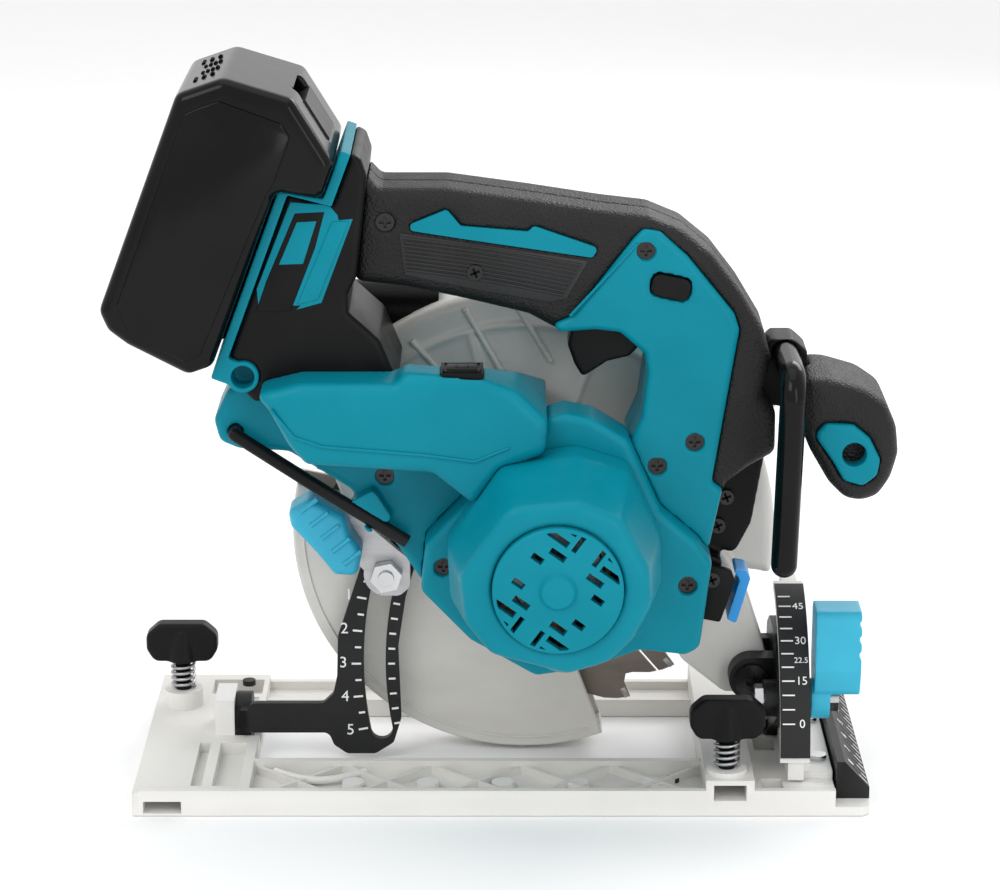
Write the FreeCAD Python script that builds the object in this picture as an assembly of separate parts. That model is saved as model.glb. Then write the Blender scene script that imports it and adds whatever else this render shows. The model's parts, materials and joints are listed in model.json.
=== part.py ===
import FreeCAD, Part
import math
import os

# Cordless circular saw with a 165 mm blade, millimetres.
# +X is forward, +Y is the blade side, -Y the motor side, +Z up.
# The origin lies on the sole, on the cutting line, under the depth pivot.

# ---- driving dimensions -------------------------------------------------
BASE_REAR, BASE_FRONT = -231.0, 42.0
BASE_NEAR, BASE_FAR = -77.5, 50.0
BASE_RIM = 10.0
SOLE_THICK = 3.6
BLOCK_TOP = 9.0
OPEN_REAR, OPEN_FRONT = -188.0, -19.0
OPEN_NEAR, OPEN_FAR = -42.0, 26.0
FAR_RIM = 7.0

FENCE_REAR = (-227.0, -213.0, 1.0, 5.6)
FENCE_FRONT = (-16.0, -4.0, 6.0, 12.0)
FENCE_RIB_TOP = 14.0

TILT_Y, TILT_Z = -8.0, 13.0
QUADRANT_R = 60.0
QUADRANT_SLOT_R = 48.0
QUADRANT_SLOT_HALF = 3.4
CLAMP_START_DEG = 29.0
BEVEL_RANGE_DEG = 50.0

PIVOT_X, PIVOT_Z = 0.0, 39.3
DEPTH_RANGE_DEG = 26.0
LOCK_X, LOCK_Z = -138.0, 77.0

BLADE_X, BLADE_Z = -85.6, 90.0
BLADE_R = 82.5
BLADE_TEETH = 24
GUARD_R = 88.5
CASE_R = 95.0
CASE_NEAR, CASE_FAR = -16.0, 14.5
CAVITY_NEAR, CAVITY_FAR = -12.5, 12.0

GEAR_MODULE = 0.8
GEAR_TEETH, PINION_TEETH = 35, 9
GEAR_CENTRES = GEAR_MODULE * (GEAR_TEETH + PINION_TEETH) / 2
MOTOR_ABOVE_DEG = 52.5
MOTOR_X = BLADE_X + GEAR_CENTRES * math.cos(math.radians(MOTOR_ABOVE_DEG))
MOTOR_Z = BLADE_Z + GEAR_CENTRES * math.sin(math.radians(MOTOR_ABOVE_DEG))
STATOR_R, STATOR_BORE = 28.6, 17.0
ROTOR_R = 16.4
FAN_R = 26.0
SPINDLE_R = 6.0
ROTOR_SHAFT_R = 2.5
RUN = 0.05

HANDLE_MID = -45.0
HANDLE_NEAR, HANDLE_FAR = -63.0, -27.0
PACK_NEAR, PACK_FAR = -82.0, -8.0
PACK_LEAN_DEG = 20.4
MOUNT_NEAR, MOUNT_FAR = -72.0, -18.0
EYELET_X, EYELET_Z = -187.0, 167.0
EYELET_HOLE = 4.2

CELL_R, CELL_LENGTH, CELL_PITCH = 8.9, 65.0, 18.0
FIRST_CELL = (102.0, -277.5)

PACK_SIN = math.sin(math.radians(PACK_LEAN_DEG))
PACK_COS = math.cos(math.radians(PACK_LEAN_DEG))

NODES = {}


# ---- building helpers ---------------------------------------------------
def box(x0, x1, y0, y1, z0, z1):
    return Part.makeBox(x1 - x0, y1 - y0, z1 - z0, FreeCAD.Vector(x0, y0, z0))


def cyl_x(y, z, radius, x0, x1):
    return Part.makeCylinder(radius, x1 - x0, FreeCAD.Vector(x0, y, z), FreeCAD.Vector(1, 0, 0))


def cyl_y(x, z, radius, y0, y1):
    return Part.makeCylinder(radius, y1 - y0, FreeCAD.Vector(x, y0, z), FreeCAD.Vector(0, 1, 0))


def cyl_z(x, y, radius, z0, z1):
    return Part.makeCylinder(radius, z1 - z0, FreeCAD.Vector(x, y, z0), FreeCAD.Vector(0, 0, 1))


def cone_y(x, z, r0, r1, y0, y1):
    return Part.makeCone(r0, r1, y1 - y0, FreeCAD.Vector(x, y0, z), FreeCAD.Vector(0, 1, 0))


def fuse(*shapes):
    result = shapes[0]
    if len(shapes) > 1:
        result = shapes[0].multiFuse(list(shapes[1:]))
    return result.removeSplitter()


def cut(shape, *tools):
    if not tools:
        return shape
    return shape.cut(list(tools))


def largest(shape):
    return max(shape.Solids, key=lambda solid: solid.Volume)


def group(*shapes):
    return Part.makeCompound(list(shapes))


def rounded_wire(points, radius, place):
    """Closed outline through 2-D points, with a tangent arc at each corner."""
    corners = [FreeCAD.Vector(a, b, 0) for a, b in points]
    count = len(corners)
    starts, mids, ends = [], [], []
    for i, here in enumerate(corners):
        back = corners[i - 1] - here
        ahead = corners[(i + 1) % count] - here
        shorter = min(back.Length, ahead.Length)
        back.normalize()
        ahead.normalize()
        half = back.getAngle(ahead) / 2
        trim = min(radius / math.tan(half), 0.46 * shorter) if radius else 0
        if trim < 1e-3 or half > math.radians(88.5):
            starts.append(here)
            mids.append(None)
            ends.append(here)
            continue
        toward = back + ahead
        toward.normalize()
        arc_r = trim * math.tan(half)
        starts.append(here + back * trim)
        ends.append(here + ahead * trim)
        mids.append(here + toward * (arc_r / math.sin(half) - arc_r))
    edges = []
    for i in range(count):
        if mids[i] is not None:
            arc = Part.Arc(place(starts[i]), place(mids[i]), place(ends[i]))
            edges.append(arc.toShape())
        following = starts[(i + 1) % count]
        if (following - ends[i]).Length > 1e-5:
            edges.append(Part.LineSegment(place(ends[i]), place(following)).toShape())
    return Part.Wire(edges)


def prism_y(points, y0, y1, radius=0.0):
    """Outline of (x, z) points, extruded along Y."""
    wire = rounded_wire(points, radius, lambda p: FreeCAD.Vector(p.x, y0, p.y))
    return Part.Face(wire).extrude(FreeCAD.Vector(0, y1 - y0, 0))


def prism_x(points, x0, x1, radius=0.0):
    """Outline of (y, z) points, extruded along X."""
    wire = rounded_wire(points, radius, lambda p: FreeCAD.Vector(x0, p.x, p.y))
    return Part.Face(wire).extrude(FreeCAD.Vector(x1 - x0, 0, 0))


def prism_z(points, z0, z1, radius=0.0):
    """Outline of (x, y) points, extruded along Z."""
    wire = rounded_wire(points, radius, lambda p: FreeCAD.Vector(p.x, p.y, z0))
    return Part.Face(wire).extrude(FreeCAD.Vector(0, 0, z1 - z0))


def taper_y(outer, y0, inner, y1, radius):
    """Ruled solid between two outlines with the same number of points."""
    first = rounded_wire(outer, radius, lambda p: FreeCAD.Vector(p.x, y0, p.y))
    last = rounded_wire(inner, radius, lambda p: FreeCAD.Vector(p.x, y1, p.y))
    return Part.makeLoft([first, last], True, True)


def polar(x, z, radius, angle_deg):
    angle = math.radians(angle_deg)
    return x + radius * math.cos(angle), z + radius * math.sin(angle)


def band_face(x, z, r_in, r_out, start_deg, end_deg, place):
    """Ring sector with true arcs; angles run from the first axis to the second."""
    middle = (start_deg + end_deg) / 2

    def arc(radius, first, last):
        stops = [polar(x, z, radius, a) for a in (first, middle, last)]
        return Part.Arc(*[place(FreeCAD.Vector(a, b, 0)) for a, b in stops]).toShape()

    def line(r0, r1, angle):
        ends = [polar(x, z, r, angle) for r in (r0, r1)]
        return Part.LineSegment(*[place(FreeCAD.Vector(a, b, 0)) for a, b in ends]).toShape()

    edges = [arc(r_out, start_deg, end_deg), line(r_out, r_in, end_deg),
             arc(r_in, end_deg, start_deg), line(r_in, r_out, start_deg)]
    return Part.Face(Part.Wire(edges))


def band_y(x, z, r_in, r_out, start_deg, end_deg, y0, y1):
    face = band_face(x, z, r_in, r_out, start_deg, end_deg,
                     lambda p: FreeCAD.Vector(p.x, y0, p.y))
    return face.extrude(FreeCAD.Vector(0, y1 - y0, 0))


def band_x(y, z, r_in, r_out, start_deg, end_deg, x0, x1):
    face = band_face(y, z, r_in, r_out, start_deg, end_deg,
                     lambda p: FreeCAD.Vector(x0, p.x, p.y))
    return face.extrude(FreeCAD.Vector(x1 - x0, 0, 0))


def ring_y(x, z, r_in, r_out, y0, y1):
    return cut(cyl_y(x, z, r_out, y0, y1), cyl_y(x, z, r_in, y0 - 1, y1 + 1))


def soften(shape, radius, chosen):
    """Round the chosen edges, with a smaller radius where the full one doesn't fit."""
    edges = [edge for edge in shape.Edges if chosen(edge)]
    for size in (radius, radius * 0.7, radius * 0.45):
        try:
            result = shape.makeFillet(size, edges)
        except Exception:
            continue
        if result.isValid() and result.Volume > 0.5 * shape.Volume:
            return result
    return shape


def on_y(value):
    def chosen(edge):
        span = edge.BoundBox
        return abs(span.YMin - value) < 1e-5 and abs(span.YMax - value) < 1e-5
    return chosen


def turned(shape, x, z, degrees):
    """Copy turned about the Y line through (x, z); positive lowers the -X side."""
    copy = shape.copy()
    copy.rotate(FreeCAD.Vector(x, 0, z), FreeCAD.Vector(0, -1, 0), degrees)
    return copy


def screw_y(x, z, near, head_r=3.4, head=2.2, shank_r=1.8, length=9.0):
    """Pan-head screw driven along +Y, with a cross recess in its head."""
    head_solid = cyl_y(x, z, head_r, near, near + head)
    shank = cyl_y(x, z, shank_r, near + head - 0.2, near + head + length)
    cross = [box(x - head_r * 0.6, x + head_r * 0.6, near - 1, near + 1.1, z - 0.5, z + 0.5),
             box(x - 0.5, x + 0.5, near - 1, near + 1.1, z - head_r * 0.6, z + head_r * 0.6)]
    return cut(fuse(head_solid, shank), *cross)


# ---- base ---------------------------------------------------------------
FRONT_WING_X, FRONT_WING_Y = -11.0, -68.5
REAR_WING_X, REAR_WING_Y = -220.0, 16.0
WING_BOSS_R, WING_BOSS_TOP = 7.5, 16.0
STUD_R = 3.0
TILT_PIN_R = 4.0
REAR_BOSS_X0, REAR_BOSS_X1 = -205.0, -197.4
STRIP_WALL = 3.0
DISC_R = 10.0
QUAD_WEB = (12.0, 18.0)
FOOT_SCREWS = ((24.5, -50.0), (24.5, -10.0))


def base_plate():
    """Cast sole with an open middle, ribbed near strip and two fence channels."""
    plan = [(BASE_REAR, BASE_NEAR), (BASE_FRONT, BASE_NEAR),
            (BASE_FRONT, BASE_FAR), (BASE_REAR, BASE_FAR)]
    floor = prism_z(plan, 0, SOLE_THICK, 4)
    near_inner = BASE_NEAR + STRIP_WALL
    strip_inner = OPEN_NEAR - STRIP_WALL
    parts = [
        floor,
        box(BASE_REAR + 2, 29, BASE_NEAR, near_inner, 0, BASE_RIM),
        box(OPEN_REAR, OPEN_FRONT, strip_inner, OPEN_NEAR, 0, BASE_RIM - 1),
        box(OPEN_REAR, OPEN_FRONT, OPEN_FAR, OPEN_FAR + STRIP_WALL, 0, FAR_RIM),
        box(BASE_REAR + 2, 29, BASE_FAR - STRIP_WALL, BASE_FAR, 0, FAR_RIM),
        box(BASE_REAR, OPEN_REAR, BASE_NEAR, BASE_FAR, 0, BLOCK_TOP),
        box(OPEN_FRONT, 29, BASE_NEAR, BASE_FAR, 0, BLOCK_TOP),
        box(OPEN_FRONT, -1, BASE_NEAR, BASE_FAR, 0, FENCE_RIB_TOP),
        cyl_z(FRONT_WING_X, FRONT_WING_Y, WING_BOSS_R, 0, WING_BOSS_TOP),
        cyl_z(REAR_WING_X, REAR_WING_Y, WING_BOSS_R, 0, WING_BOSS_TOP),
        box(REAR_BOSS_X0, REAR_BOSS_X1, TILT_Y - 10, TILT_Y + 10, 0, TILT_Z + 10),
    ]
    bays = 5
    bay_length = (OPEN_FRONT - OPEN_REAR) / bays
    for i in range(bays):
        left = OPEN_REAR + bay_length * i
        right = left + bay_length
        low, high = near_inner - 0.5, strip_inner + 0.5
        parts.append(prism_z([(left, low), (left + 2.4, low), (right, high), (right - 2.4, high)],
                             0, BASE_RIM - 3))
        parts.append(prism_z([(left, high), (right - 2.4, low), (right, low), (left + 2.4, high)],
                             0, BASE_RIM - 3))
    solid = fuse(*parts)
    rear_pockets = [box(-210, -206, -70, -26, 5, 12), box(-202, -192, -70, -26, 4, 12),
                    box(-210, -190, 28, 44, 4, 12), box(-200, -191, 6, 24, 4, 12)]
    front_pockets = [box(2, 10, -34, -20, 4, 12), box(2, 26, 8, 44, 4, 12),
                     box(2, 10, -74, -63, 4, 12)]
    opening = box(OPEN_REAR, OPEN_FRONT, OPEN_NEAR, OPEN_FAR, -1, 30)
    channels = [box(x0, x1, BASE_NEAR - 1, BASE_FAR + 1, z0, z1)
                for x0, x1, z0, z1 in (FENCE_REAR, FENCE_FRONT)]
    bores = [cyl_z(FRONT_WING_X, FRONT_WING_Y, STUD_R + RUN, FENCE_FRONT[3] - 1, 20),
             cyl_z(REAR_WING_X, REAR_WING_Y, STUD_R + RUN, FENCE_REAR[3] - 1, 20),
             cyl_x(TILT_Y, TILT_Z, TILT_PIN_R, REAR_BOSS_X0 - 1, REAR_BOSS_X1 + 1)]
    screws = [cyl_z(x, y, 1.8, SOLE_THICK + 1, 20) for x, y in FOOT_SCREWS]
    wells = [cyl_x(TILT_Y, TILT_Z, DISC_R + 0.7, REAR_BOSS_X1, OPEN_REAR + 1),
             cyl_x(TILT_Y, TILT_Z, DISC_R + 1.0, 4.2, QUAD_WEB[1])]
    return cut(solid, opening, *channels, *bores, *rear_pockets, *front_pockets,
               *wells, *screws)


QUAD_RIM = (9.0, 20.0)


def bevel_quadrant():
    """Sector on the base front, with the arc slot for the bevel clamp."""
    web = band_x(TILT_Y, TILT_Z, 8, QUADRANT_R - 1, 92, 183, *QUAD_WEB)
    rim = band_x(TILT_Y, TILT_Z, QUADRANT_R - 3, QUADRANT_R, 100, 176, *QUAD_RIM)
    hub = cyl_x(TILT_Y, TILT_Z, 11, *QUAD_WEB)
    foot = box(QUAD_WEB[0], 29, -63, 2, BLOCK_TOP, BLOCK_TOP + 3)
    below = box(0, 40, -90, 40, -10, BLOCK_TOP)
    solid = fuse(cut(fuse(web, rim, foot), below), hub)
    start = 180 - CLAMP_START_DEG
    slot = band_x(TILT_Y, TILT_Z, QUADRANT_SLOT_R - QUADRANT_SLOT_HALF,
                  QUADRANT_SLOT_R + QUADRANT_SLOT_HALF,
                  start - BEVEL_RANGE_DEG, start, QUAD_WEB[0] - 1, QUAD_WEB[1] + 1)
    ends = []
    for angle in (start, start - BEVEL_RANGE_DEG):
        y, z = polar(TILT_Y, TILT_Z, QUADRANT_SLOT_R, angle)
        ends.append(cyl_x(y, z, QUADRANT_SLOT_HALF, QUAD_WEB[0] - 1, QUAD_WEB[1] + 1))
    bore = cyl_x(TILT_Y, TILT_Z, TILT_PIN_R, 5, 25)
    screws = [cyl_z(x, y, 1.8, 0, 20) for x, y in FOOT_SCREWS]
    return cut(solid, fuse(slot, *ends), bore, *screws)


def bevel_scale_plate():
    """Dark curved plate on the quadrant rim that carries the bevel scale."""
    return band_x(TILT_Y, TILT_Z, QUADRANT_R, QUADRANT_R + 1.2, 104, 174, *QUAD_RIM)


def front_ruler():
    """Graduated wedge along the front edge, stepped every 5 mm."""
    profile = [(30, SOLE_THICK), (42.3, SOLE_THICK), (42.3, 8), (33, 18), (30, 18)]
    wire = rounded_wire(profile, 0, lambda p: FreeCAD.Vector(p.x, -69, p.y))
    bar = Part.Face(wire).extrude(FreeCAD.Vector(0, 104, 0))
    grooves = []
    for i in range(20):
        y = -64 + 5 * i
        groove = box(35, 60, y, y + 0.8, 9.5, 30)
        groove.rotate(FreeCAD.Vector(35, y, 15), FreeCAD.Vector(0, 1, 0), 47)
        grooves.append(groove)
    return cut(bar, *grooves)


def base_pins_and_screws():
    """Two tilt pins along X and the two foot screws of the quadrant."""
    front = fuse(cyl_x(TILT_Y, TILT_Z, TILT_PIN_R, 7.4, QUAD_WEB[1]),
                 cyl_x(TILT_Y, TILT_Z, 7, 4.6, 7.6))
    rear = fuse(cyl_x(TILT_Y, TILT_Z, TILT_PIN_R, REAR_BOSS_X0, -190.6),
                cyl_x(TILT_Y, TILT_Z, 6.5, -190.6, -188.6))
    screws = []
    for x, y in FOOT_SCREWS:
        head = cyl_z(x, y, 3.4, BLOCK_TOP + 3, BLOCK_TOP + 5)
        screws.append(fuse(head, cyl_z(x, y, 1.8, SOLE_THICK + 1, BLOCK_TOP + 3.5)))
    return group(front, rear, *screws)


# ---- clamp screws for the parallel fence --------------------------------
KNOB_BOTTOM = 28.0


def wing_knob(x, y):
    outline = [(-14, 5), (-11, 0), (11, 0), (14, 5), (14, 11), (9, 15.5), (-9, 15.5), (-14, 11)]
    wings = prism_y([(x + a, KNOB_BOTTOM + b) for a, b in outline], y - 4, y + 4, 4)
    wings = soften(soften(wings, 1.6, on_y(y - 4)), 1.6, on_y(y + 4))
    hub = Part.makeCone(6.6, 4.6, 12.5, FreeCAD.Vector(x, y, KNOB_BOTTOM))
    return cut(fuse(wings, hub), cyl_z(x, y, STUD_R, 0, KNOB_BOTTOM + 7))


def wing_stud(x, y, bottom):
    return cyl_z(x, y, STUD_R, bottom, KNOB_BOTTOM + 7)


def clamp_springs():
    """Compression springs that keep the wing knobs from rattling loose."""
    springs = []
    for x, y in ((FRONT_WING_X, FRONT_WING_Y), (REAR_WING_X, REAR_WING_Y)):
        turns = 5
        lowest, highest = WING_BOSS_TOP + 0.8, KNOB_BOTTOM - 0.8
        for i in range(turns):
            z = lowest + (highest - lowest) * i / (turns - 1)
            springs.append(Part.makeTorus(4.4, 0.7, FreeCAD.Vector(x, y, z),
                                          FreeCAD.Vector(0, 0, 1)))
    return group(*springs)


# ---- tilt frame ---------------------------------------------------------
BRACKET_PLATE = (8.3, 11.7)
LUG_NEAR = (-38.0, -29.6)
LUG_FAR = (-15.4, -9.5)
LUG_R = 8.5
PIVOT_PIN_R = 4.0
GUIDE_Y = (-20.5, -17.5)
DISC_X = (-197.0, -191.0)
SLOT_HALF = 4.2
CLAMP_Y, CLAMP_Z = polar(TILT_Y, TILT_Z, QUADRANT_SLOT_R, 180 - CLAMP_START_DEG)
SLOT_R = math.hypot(LOCK_X - PIVOT_X, LOCK_Z - PIVOT_Z)
LOCK_DEG = math.degrees(math.atan2(LOCK_Z - PIVOT_Z, LOCK_X - PIVOT_X))
CLAMP_BOLT_R = 3.0


def tilt_bracket():
    """Forked bracket: turns on the front tilt pin and holds the depth pivot."""
    sheet = [(-18, 11), (0, 11), (2, 30), (-2, 50), (-12, 56), (-40, 58), (-54, 46),
             (-58, 32), (-44, 24), (-26, 16)]
    plate = prism_x(sheet, *BRACKET_PLATE, 4)
    clip = cyl_x(TILT_Y, TILT_Z, QUADRANT_R - 3.6, 0, 20)
    plate = fuse(plate.common(clip), cyl_x(TILT_Y, TILT_Z, DISC_R, *BRACKET_PLATE))
    ears = []
    for y0, y1 in (LUG_NEAR, LUG_FAR):
        ears.append(cyl_y(PIVOT_X, PIVOT_Z, LUG_R, y0, y1))
        ears.append(box(PIVOT_X, BRACKET_PLATE[0] + 1, y0, y1, PIVOT_Z - 14, PIVOT_Z + LUG_R))
    boss = cyl_x(CLAMP_Y, CLAMP_Z, 7, 3.5, BRACKET_PLATE[0] + 1)
    solid = fuse(plate, *ears, boss)
    pin_head_room = cyl_x(TILT_Y, TILT_Z, 7.6, -10, BRACKET_PLATE[0] - 0.3)
    return cut(solid, pin_head_room, cyl_x(TILT_Y, TILT_Z, TILT_PIN_R + RUN, 0, 20),
               cyl_y(PIVOT_X, PIVOT_Z, PIVOT_PIN_R, -60, 20),
               cyl_x(CLAMP_Y, CLAMP_Z, CLAMP_BOLT_R, 0, 20))


def depth_pivot_pin():
    head = cyl_y(PIVOT_X, PIVOT_Z, 6.5, LUG_NEAR[0] - 3, LUG_NEAR[0])
    shank = cyl_y(PIVOT_X, PIVOT_Z, PIVOT_PIN_R, LUG_NEAR[0] - 0.5, LUG_FAR[1])
    recess = cyl_y(PIVOT_X, PIVOT_Z, 2.2, LUG_NEAR[0] - 4, LUG_NEAR[0] - 1)
    return cut(fuse(head, shank), recess)


def depth_guide():
    """Dark plate with the depth slot, on an arm from the rear tilt disc."""
    outline = [(-146, 84), (-157, 50), (-157.5, 34), (-159, 27), (-163, 23), (-192, 23),
               (-192, 11), (-161, 11), (-159, 6), (-154, 2.5), (-143, 2.5), (-136, 7),
               (-133, 17), (-134, 46), (-131, 66), (-127, 80), (-134, 89)]
    plate = prism_y(outline, *GUIDE_Y, 3)
    start, stop = LOCK_DEG, LOCK_DEG + DEPTH_RANGE_DEG
    slot = band_y(PIVOT_X, PIVOT_Z, SLOT_R - SLOT_HALF, SLOT_R + SLOT_HALF,
                  start, stop, GUIDE_Y[0] - 1, GUIDE_Y[1] + 1)
    ends = []
    for angle in (start, stop):
        x, z = polar(PIVOT_X, PIVOT_Z, SLOT_R, angle)
        ends.append(cyl_y(x, z, SLOT_HALF, GUIDE_Y[0] - 1, GUIDE_Y[1] + 1))
    plate = cut(plate, slot, *ends)
    disc = cyl_x(TILT_Y, TILT_Z, DISC_R, *DISC_X)
    link = box(DISC_X[0] + 2, DISC_X[1], GUIDE_Y[0], TILT_Y - 6, 11, 20)
    bore = cyl_x(TILT_Y, TILT_Z, TILT_PIN_R + RUN, -210, -180)
    return cut(fuse(plate, disc, link), bore)


def bevel_clamp_bolt():
    """Hex bolt through bracket and quadrant, with its washer and end nut."""
    shank = cyl_x(CLAMP_Y, CLAMP_Z, CLAMP_BOLT_R, 3, 31.6)
    head = hexagon_x(CLAMP_Y, CLAMP_Z, 5.5, 0.2, 3.5)
    washer = cut(cyl_x(CLAMP_Y, CLAMP_Z, 8, 18.05, 20.5),
                 cyl_x(CLAMP_Y, CLAMP_Z, CLAMP_BOLT_R, 17, 22))
    nut = cut(hexagon_x(CLAMP_Y, CLAMP_Z, 5, 28.2, 31.6),
              cyl_x(CLAMP_Y, CLAMP_Z, CLAMP_BOLT_R, 27, 33))
    return group(fuse(head, shank), washer, nut)


def hexagon_x(y, z, radius, x0, x1):
    points = [polar(y, z, radius, 60 * i) for i in range(6)]
    return prism_x(points, x0, x1)


def hexagon_y(x, z, radius, y0, y1):
    points = [polar(x, z, radius, 60 * i + 12) for i in range(6)]
    return prism_y(points, y0, y1)


def bevel_lever():
    """Moulded lever on the clamp bolt, leaning forward of the quadrant."""
    hub = cyl_x(CLAMP_Y, CLAMP_Z, 7.6, 21, 28)
    grip_outline = [(-7, 3), (7, 3), (10, 14), (9, 36.5), (-9, 36.5), (-10, 14)]
    grip = prism_x([(CLAMP_Y + a, CLAMP_Z + b) for a, b in grip_outline], 22, 39, 4)
    flutes = [cyl_y(40, CLAMP_Z + rise, 1.9, CLAMP_Y - 20, CLAMP_Y + 20) for rise in (20, 26, 32)]
    room = cyl_x(CLAMP_Y, CLAMP_Z, 6.5, 28, 45)
    bore = cyl_x(CLAMP_Y, CLAMP_Z, CLAMP_BOLT_R + RUN, 10, 50)
    return cut(fuse(hub, grip), room, bore, *flutes)


# ---- blade, guard and case ----------------------------------------------
HUB_R = 24.0
LOCK_BOLT_R = 3.0
NOZZLE_Y, NOZZLE_Z = 1.0, 174.0
NOZZLE_R, NOZZLE_BORE = 11.0, 9.0
NOZZLE_END, NOZZLE_SEAT = -161.0, -128.0


def blade_case():
    """Upper case over the blade, with the pivot arm and the lug of the depth bolt."""
    shell = band_y(BLADE_X, BLADE_Z, 20, CASE_R, -10, 160, CASE_NEAR, CASE_FAR)
    shell = soften(shell, 4, on_y(CASE_NEAR))
    hollow = cyl_y(BLADE_X, BLADE_Z, CASE_R - 3.5, CAVITY_NEAR, CAVITY_FAR)
    hub = cyl_y(BLADE_X, BLADE_Z, 40, CASE_NEAR, CAVITY_NEAR)
    lug = prism_y([(-160, 118), (-146, 82), (-142, 71), (-134, 69), (-129, 76), (-118, 100),
                   (-118, 120)], CASE_NEAR, CAVITY_NEAR, 3)
    lug = fuse(lug, prism_y([(-150, 130), (-118, 100), (-86, 50), (-64, 52), (-50, 90),
                             (-60, 140)], CASE_NEAR, CAVITY_NEAR, 3))
    arm = prism_y([(-26, 44), (-10, 31), (0, 31), (7.5, 39), (5, 50), (-2, 72), (-20, 100),
                   (-44, 100), (-40, 70)], -29.3, CASE_NEAR + 0.5, 5)
    eye = cyl_y(PIVOT_X, PIVOT_Z, 8, -29.3, CASE_NEAR + 0.31)
    arm = fuse(cut(arm, box(-60, 20, CASE_NEAR + 0.31, 0, 20, 52)), eye)
    ribs = [band_y(BLADE_X, BLADE_Z, CASE_R - 14, CASE_R - 12, 8, 150, CASE_NEAR - 1.2,
                   CASE_NEAR + 1)]
    for angle in (35, 70, 105, 140):
        rib = box(BLADE_X + 42, BLADE_X + CASE_R - 12, CASE_NEAR - 1.2, CASE_NEAR + 1,
                  BLADE_Z - 1, BLADE_Z + 1)
        ribs.append(turned(rib, BLADE_X, BLADE_Z, angle))
    solid = cut(fuse(shell, hub, lug), hollow)
    solid = fuse(solid, arm, *ribs, cyl_y(BLADE_X, BLADE_Z, HUB_R, CAVITY_NEAR - 1, -8.4))
    return cut(solid, cyl_y(BLADE_X, BLADE_Z, 13, -20, 0),
               cyl_y(PIVOT_X, PIVOT_Z, PIVOT_PIN_R + RUN, -40, 0),
               cyl_y(LOCK_X, LOCK_Z, LOCK_BOLT_R, -40, 0), nozzle_room())


def nozzle_room():
    return cyl_x(NOZZLE_Y, NOZZLE_Z, NOZZLE_R, -180, NOZZLE_SEAT)


def dust_nozzle():
    """Outlet for the chips at the rear of the case."""
    tube = cyl_x(NOZZLE_Y, NOZZLE_Z, NOZZLE_R, NOZZLE_END, -118)
    collar = cyl_x(NOZZLE_Y, NOZZLE_Z, NOZZLE_R + 2, NOZZLE_END, NOZZLE_END + 10)
    bore = cyl_x(NOZZLE_Y, NOZZLE_Z, NOZZLE_BORE, NOZZLE_END - 1, NOZZLE_END + 10)
    throat = cyl_x(NOZZLE_Y, NOZZLE_Z, NOZZLE_BORE + 0.6, NOZZLE_END + 10, -110)
    sweep = cyl_y(BLADE_X, BLADE_Z, CASE_R - 3.5, -40, 40)
    seat = cyl_y(BLADE_X, BLADE_Z, CASE_R, -40, 40).common(box(NOZZLE_SEAT, 0, -40, 40, 0, 300))
    return largest(cut(fuse(tube, collar), bore, throat, sweep, seat))


def lower_guard():
    """Swinging guard: near wall with hub ring, far ring and rim."""
    start, stop = 168, 290
    near = band_y(BLADE_X, BLADE_Z, 28, GUARD_R, start, stop, -10.5, -8.7)
    rim = band_y(BLADE_X, BLADE_Z, GUARD_R - 2, GUARD_R, start, stop, -10.5, 10)
    far = band_y(BLADE_X, BLADE_Z, 56, GUARD_R, start, stop, 8.2, 10)
    hub = ring_y(BLADE_X, BLADE_Z, HUB_R + RUN, 34, -10.5, -8.7)
    solid = fuse(near, rim, far, hub)
    return soften(solid, 1.2, on_y(-10.5))


def saw_blade():
    """Toothed disc with a 20 mm bore, on the cutting line."""
    points = []
    for i in range(BLADE_TEETH):
        base = -360.0 * i / BLADE_TEETH
        for radius, shift in ((BLADE_R, 0), (BLADE_R - 1.6, -3.2), (BLADE_R - 4, -6.5),
                              (BLADE_R - 8, -10.5), (BLADE_R - 9, -12.5),
                              (BLADE_R - 6.5, -14.2)):
            points.append(polar(BLADE_X, BLADE_Z, radius, base + shift))
    disc = prism_y(points, -0.8, 0.8)
    slots = []
    for i in range(4):
        slot = box(BLADE_X + 60, BLADE_X + 90, -2, 2, BLADE_Z - 0.4, BLADE_Z + 0.4)
        slots.append(turned(slot, BLADE_X, BLADE_Z, 90 * i + 40.5))
    return cut(disc, cyl_y(BLADE_X, BLADE_Z, 10, -2, 2), *slots)


def blade_flanges():
    """Inner flange that centres the blade, and outer clamping washer."""
    inner = fuse(ring_y(BLADE_X, BLADE_Z, SPINDLE_R, 17, -5.5, -0.8),
                 ring_y(BLADE_X, BLADE_Z, SPINDLE_R, 10, -0.9, 0.8))
    return group(inner, ring_y(BLADE_X, BLADE_Z, 4, 17, 0.8, 3.6))


def blade_bolt():
    head = hexagon_y(BLADE_X, BLADE_Z, 7, 3.6, 8.6)
    return fuse(head, cyl_y(BLADE_X, BLADE_Z, 4, -14, 4))


def spindle():
    shaft = cyl_y(BLADE_X, BLADE_Z, SPINDLE_R, -52, 0.8)
    return cut(shaft, cyl_y(BLADE_X, BLADE_Z, 4, -14, 2))


def toothed_wheel(x, z, teeth, bore, y0, y1, phase_deg):
    root = GEAR_MODULE * (teeth / 2 - 1.25)
    tip = GEAR_MODULE * (teeth / 2 + 0.9)
    pitch = 360.0 / teeth
    points = []
    for i in range(teeth):
        middle = phase_deg + pitch * i
        for radius, part in ((root, -0.30), (tip, -0.11), (tip, 0.11), (root, 0.30)):
            points.append(polar(x, z, radius, middle + pitch * part))
    return cut(prism_y(points, y0, y1), cyl_y(x, z, bore, y0 - 1, y1 + 1))


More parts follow.
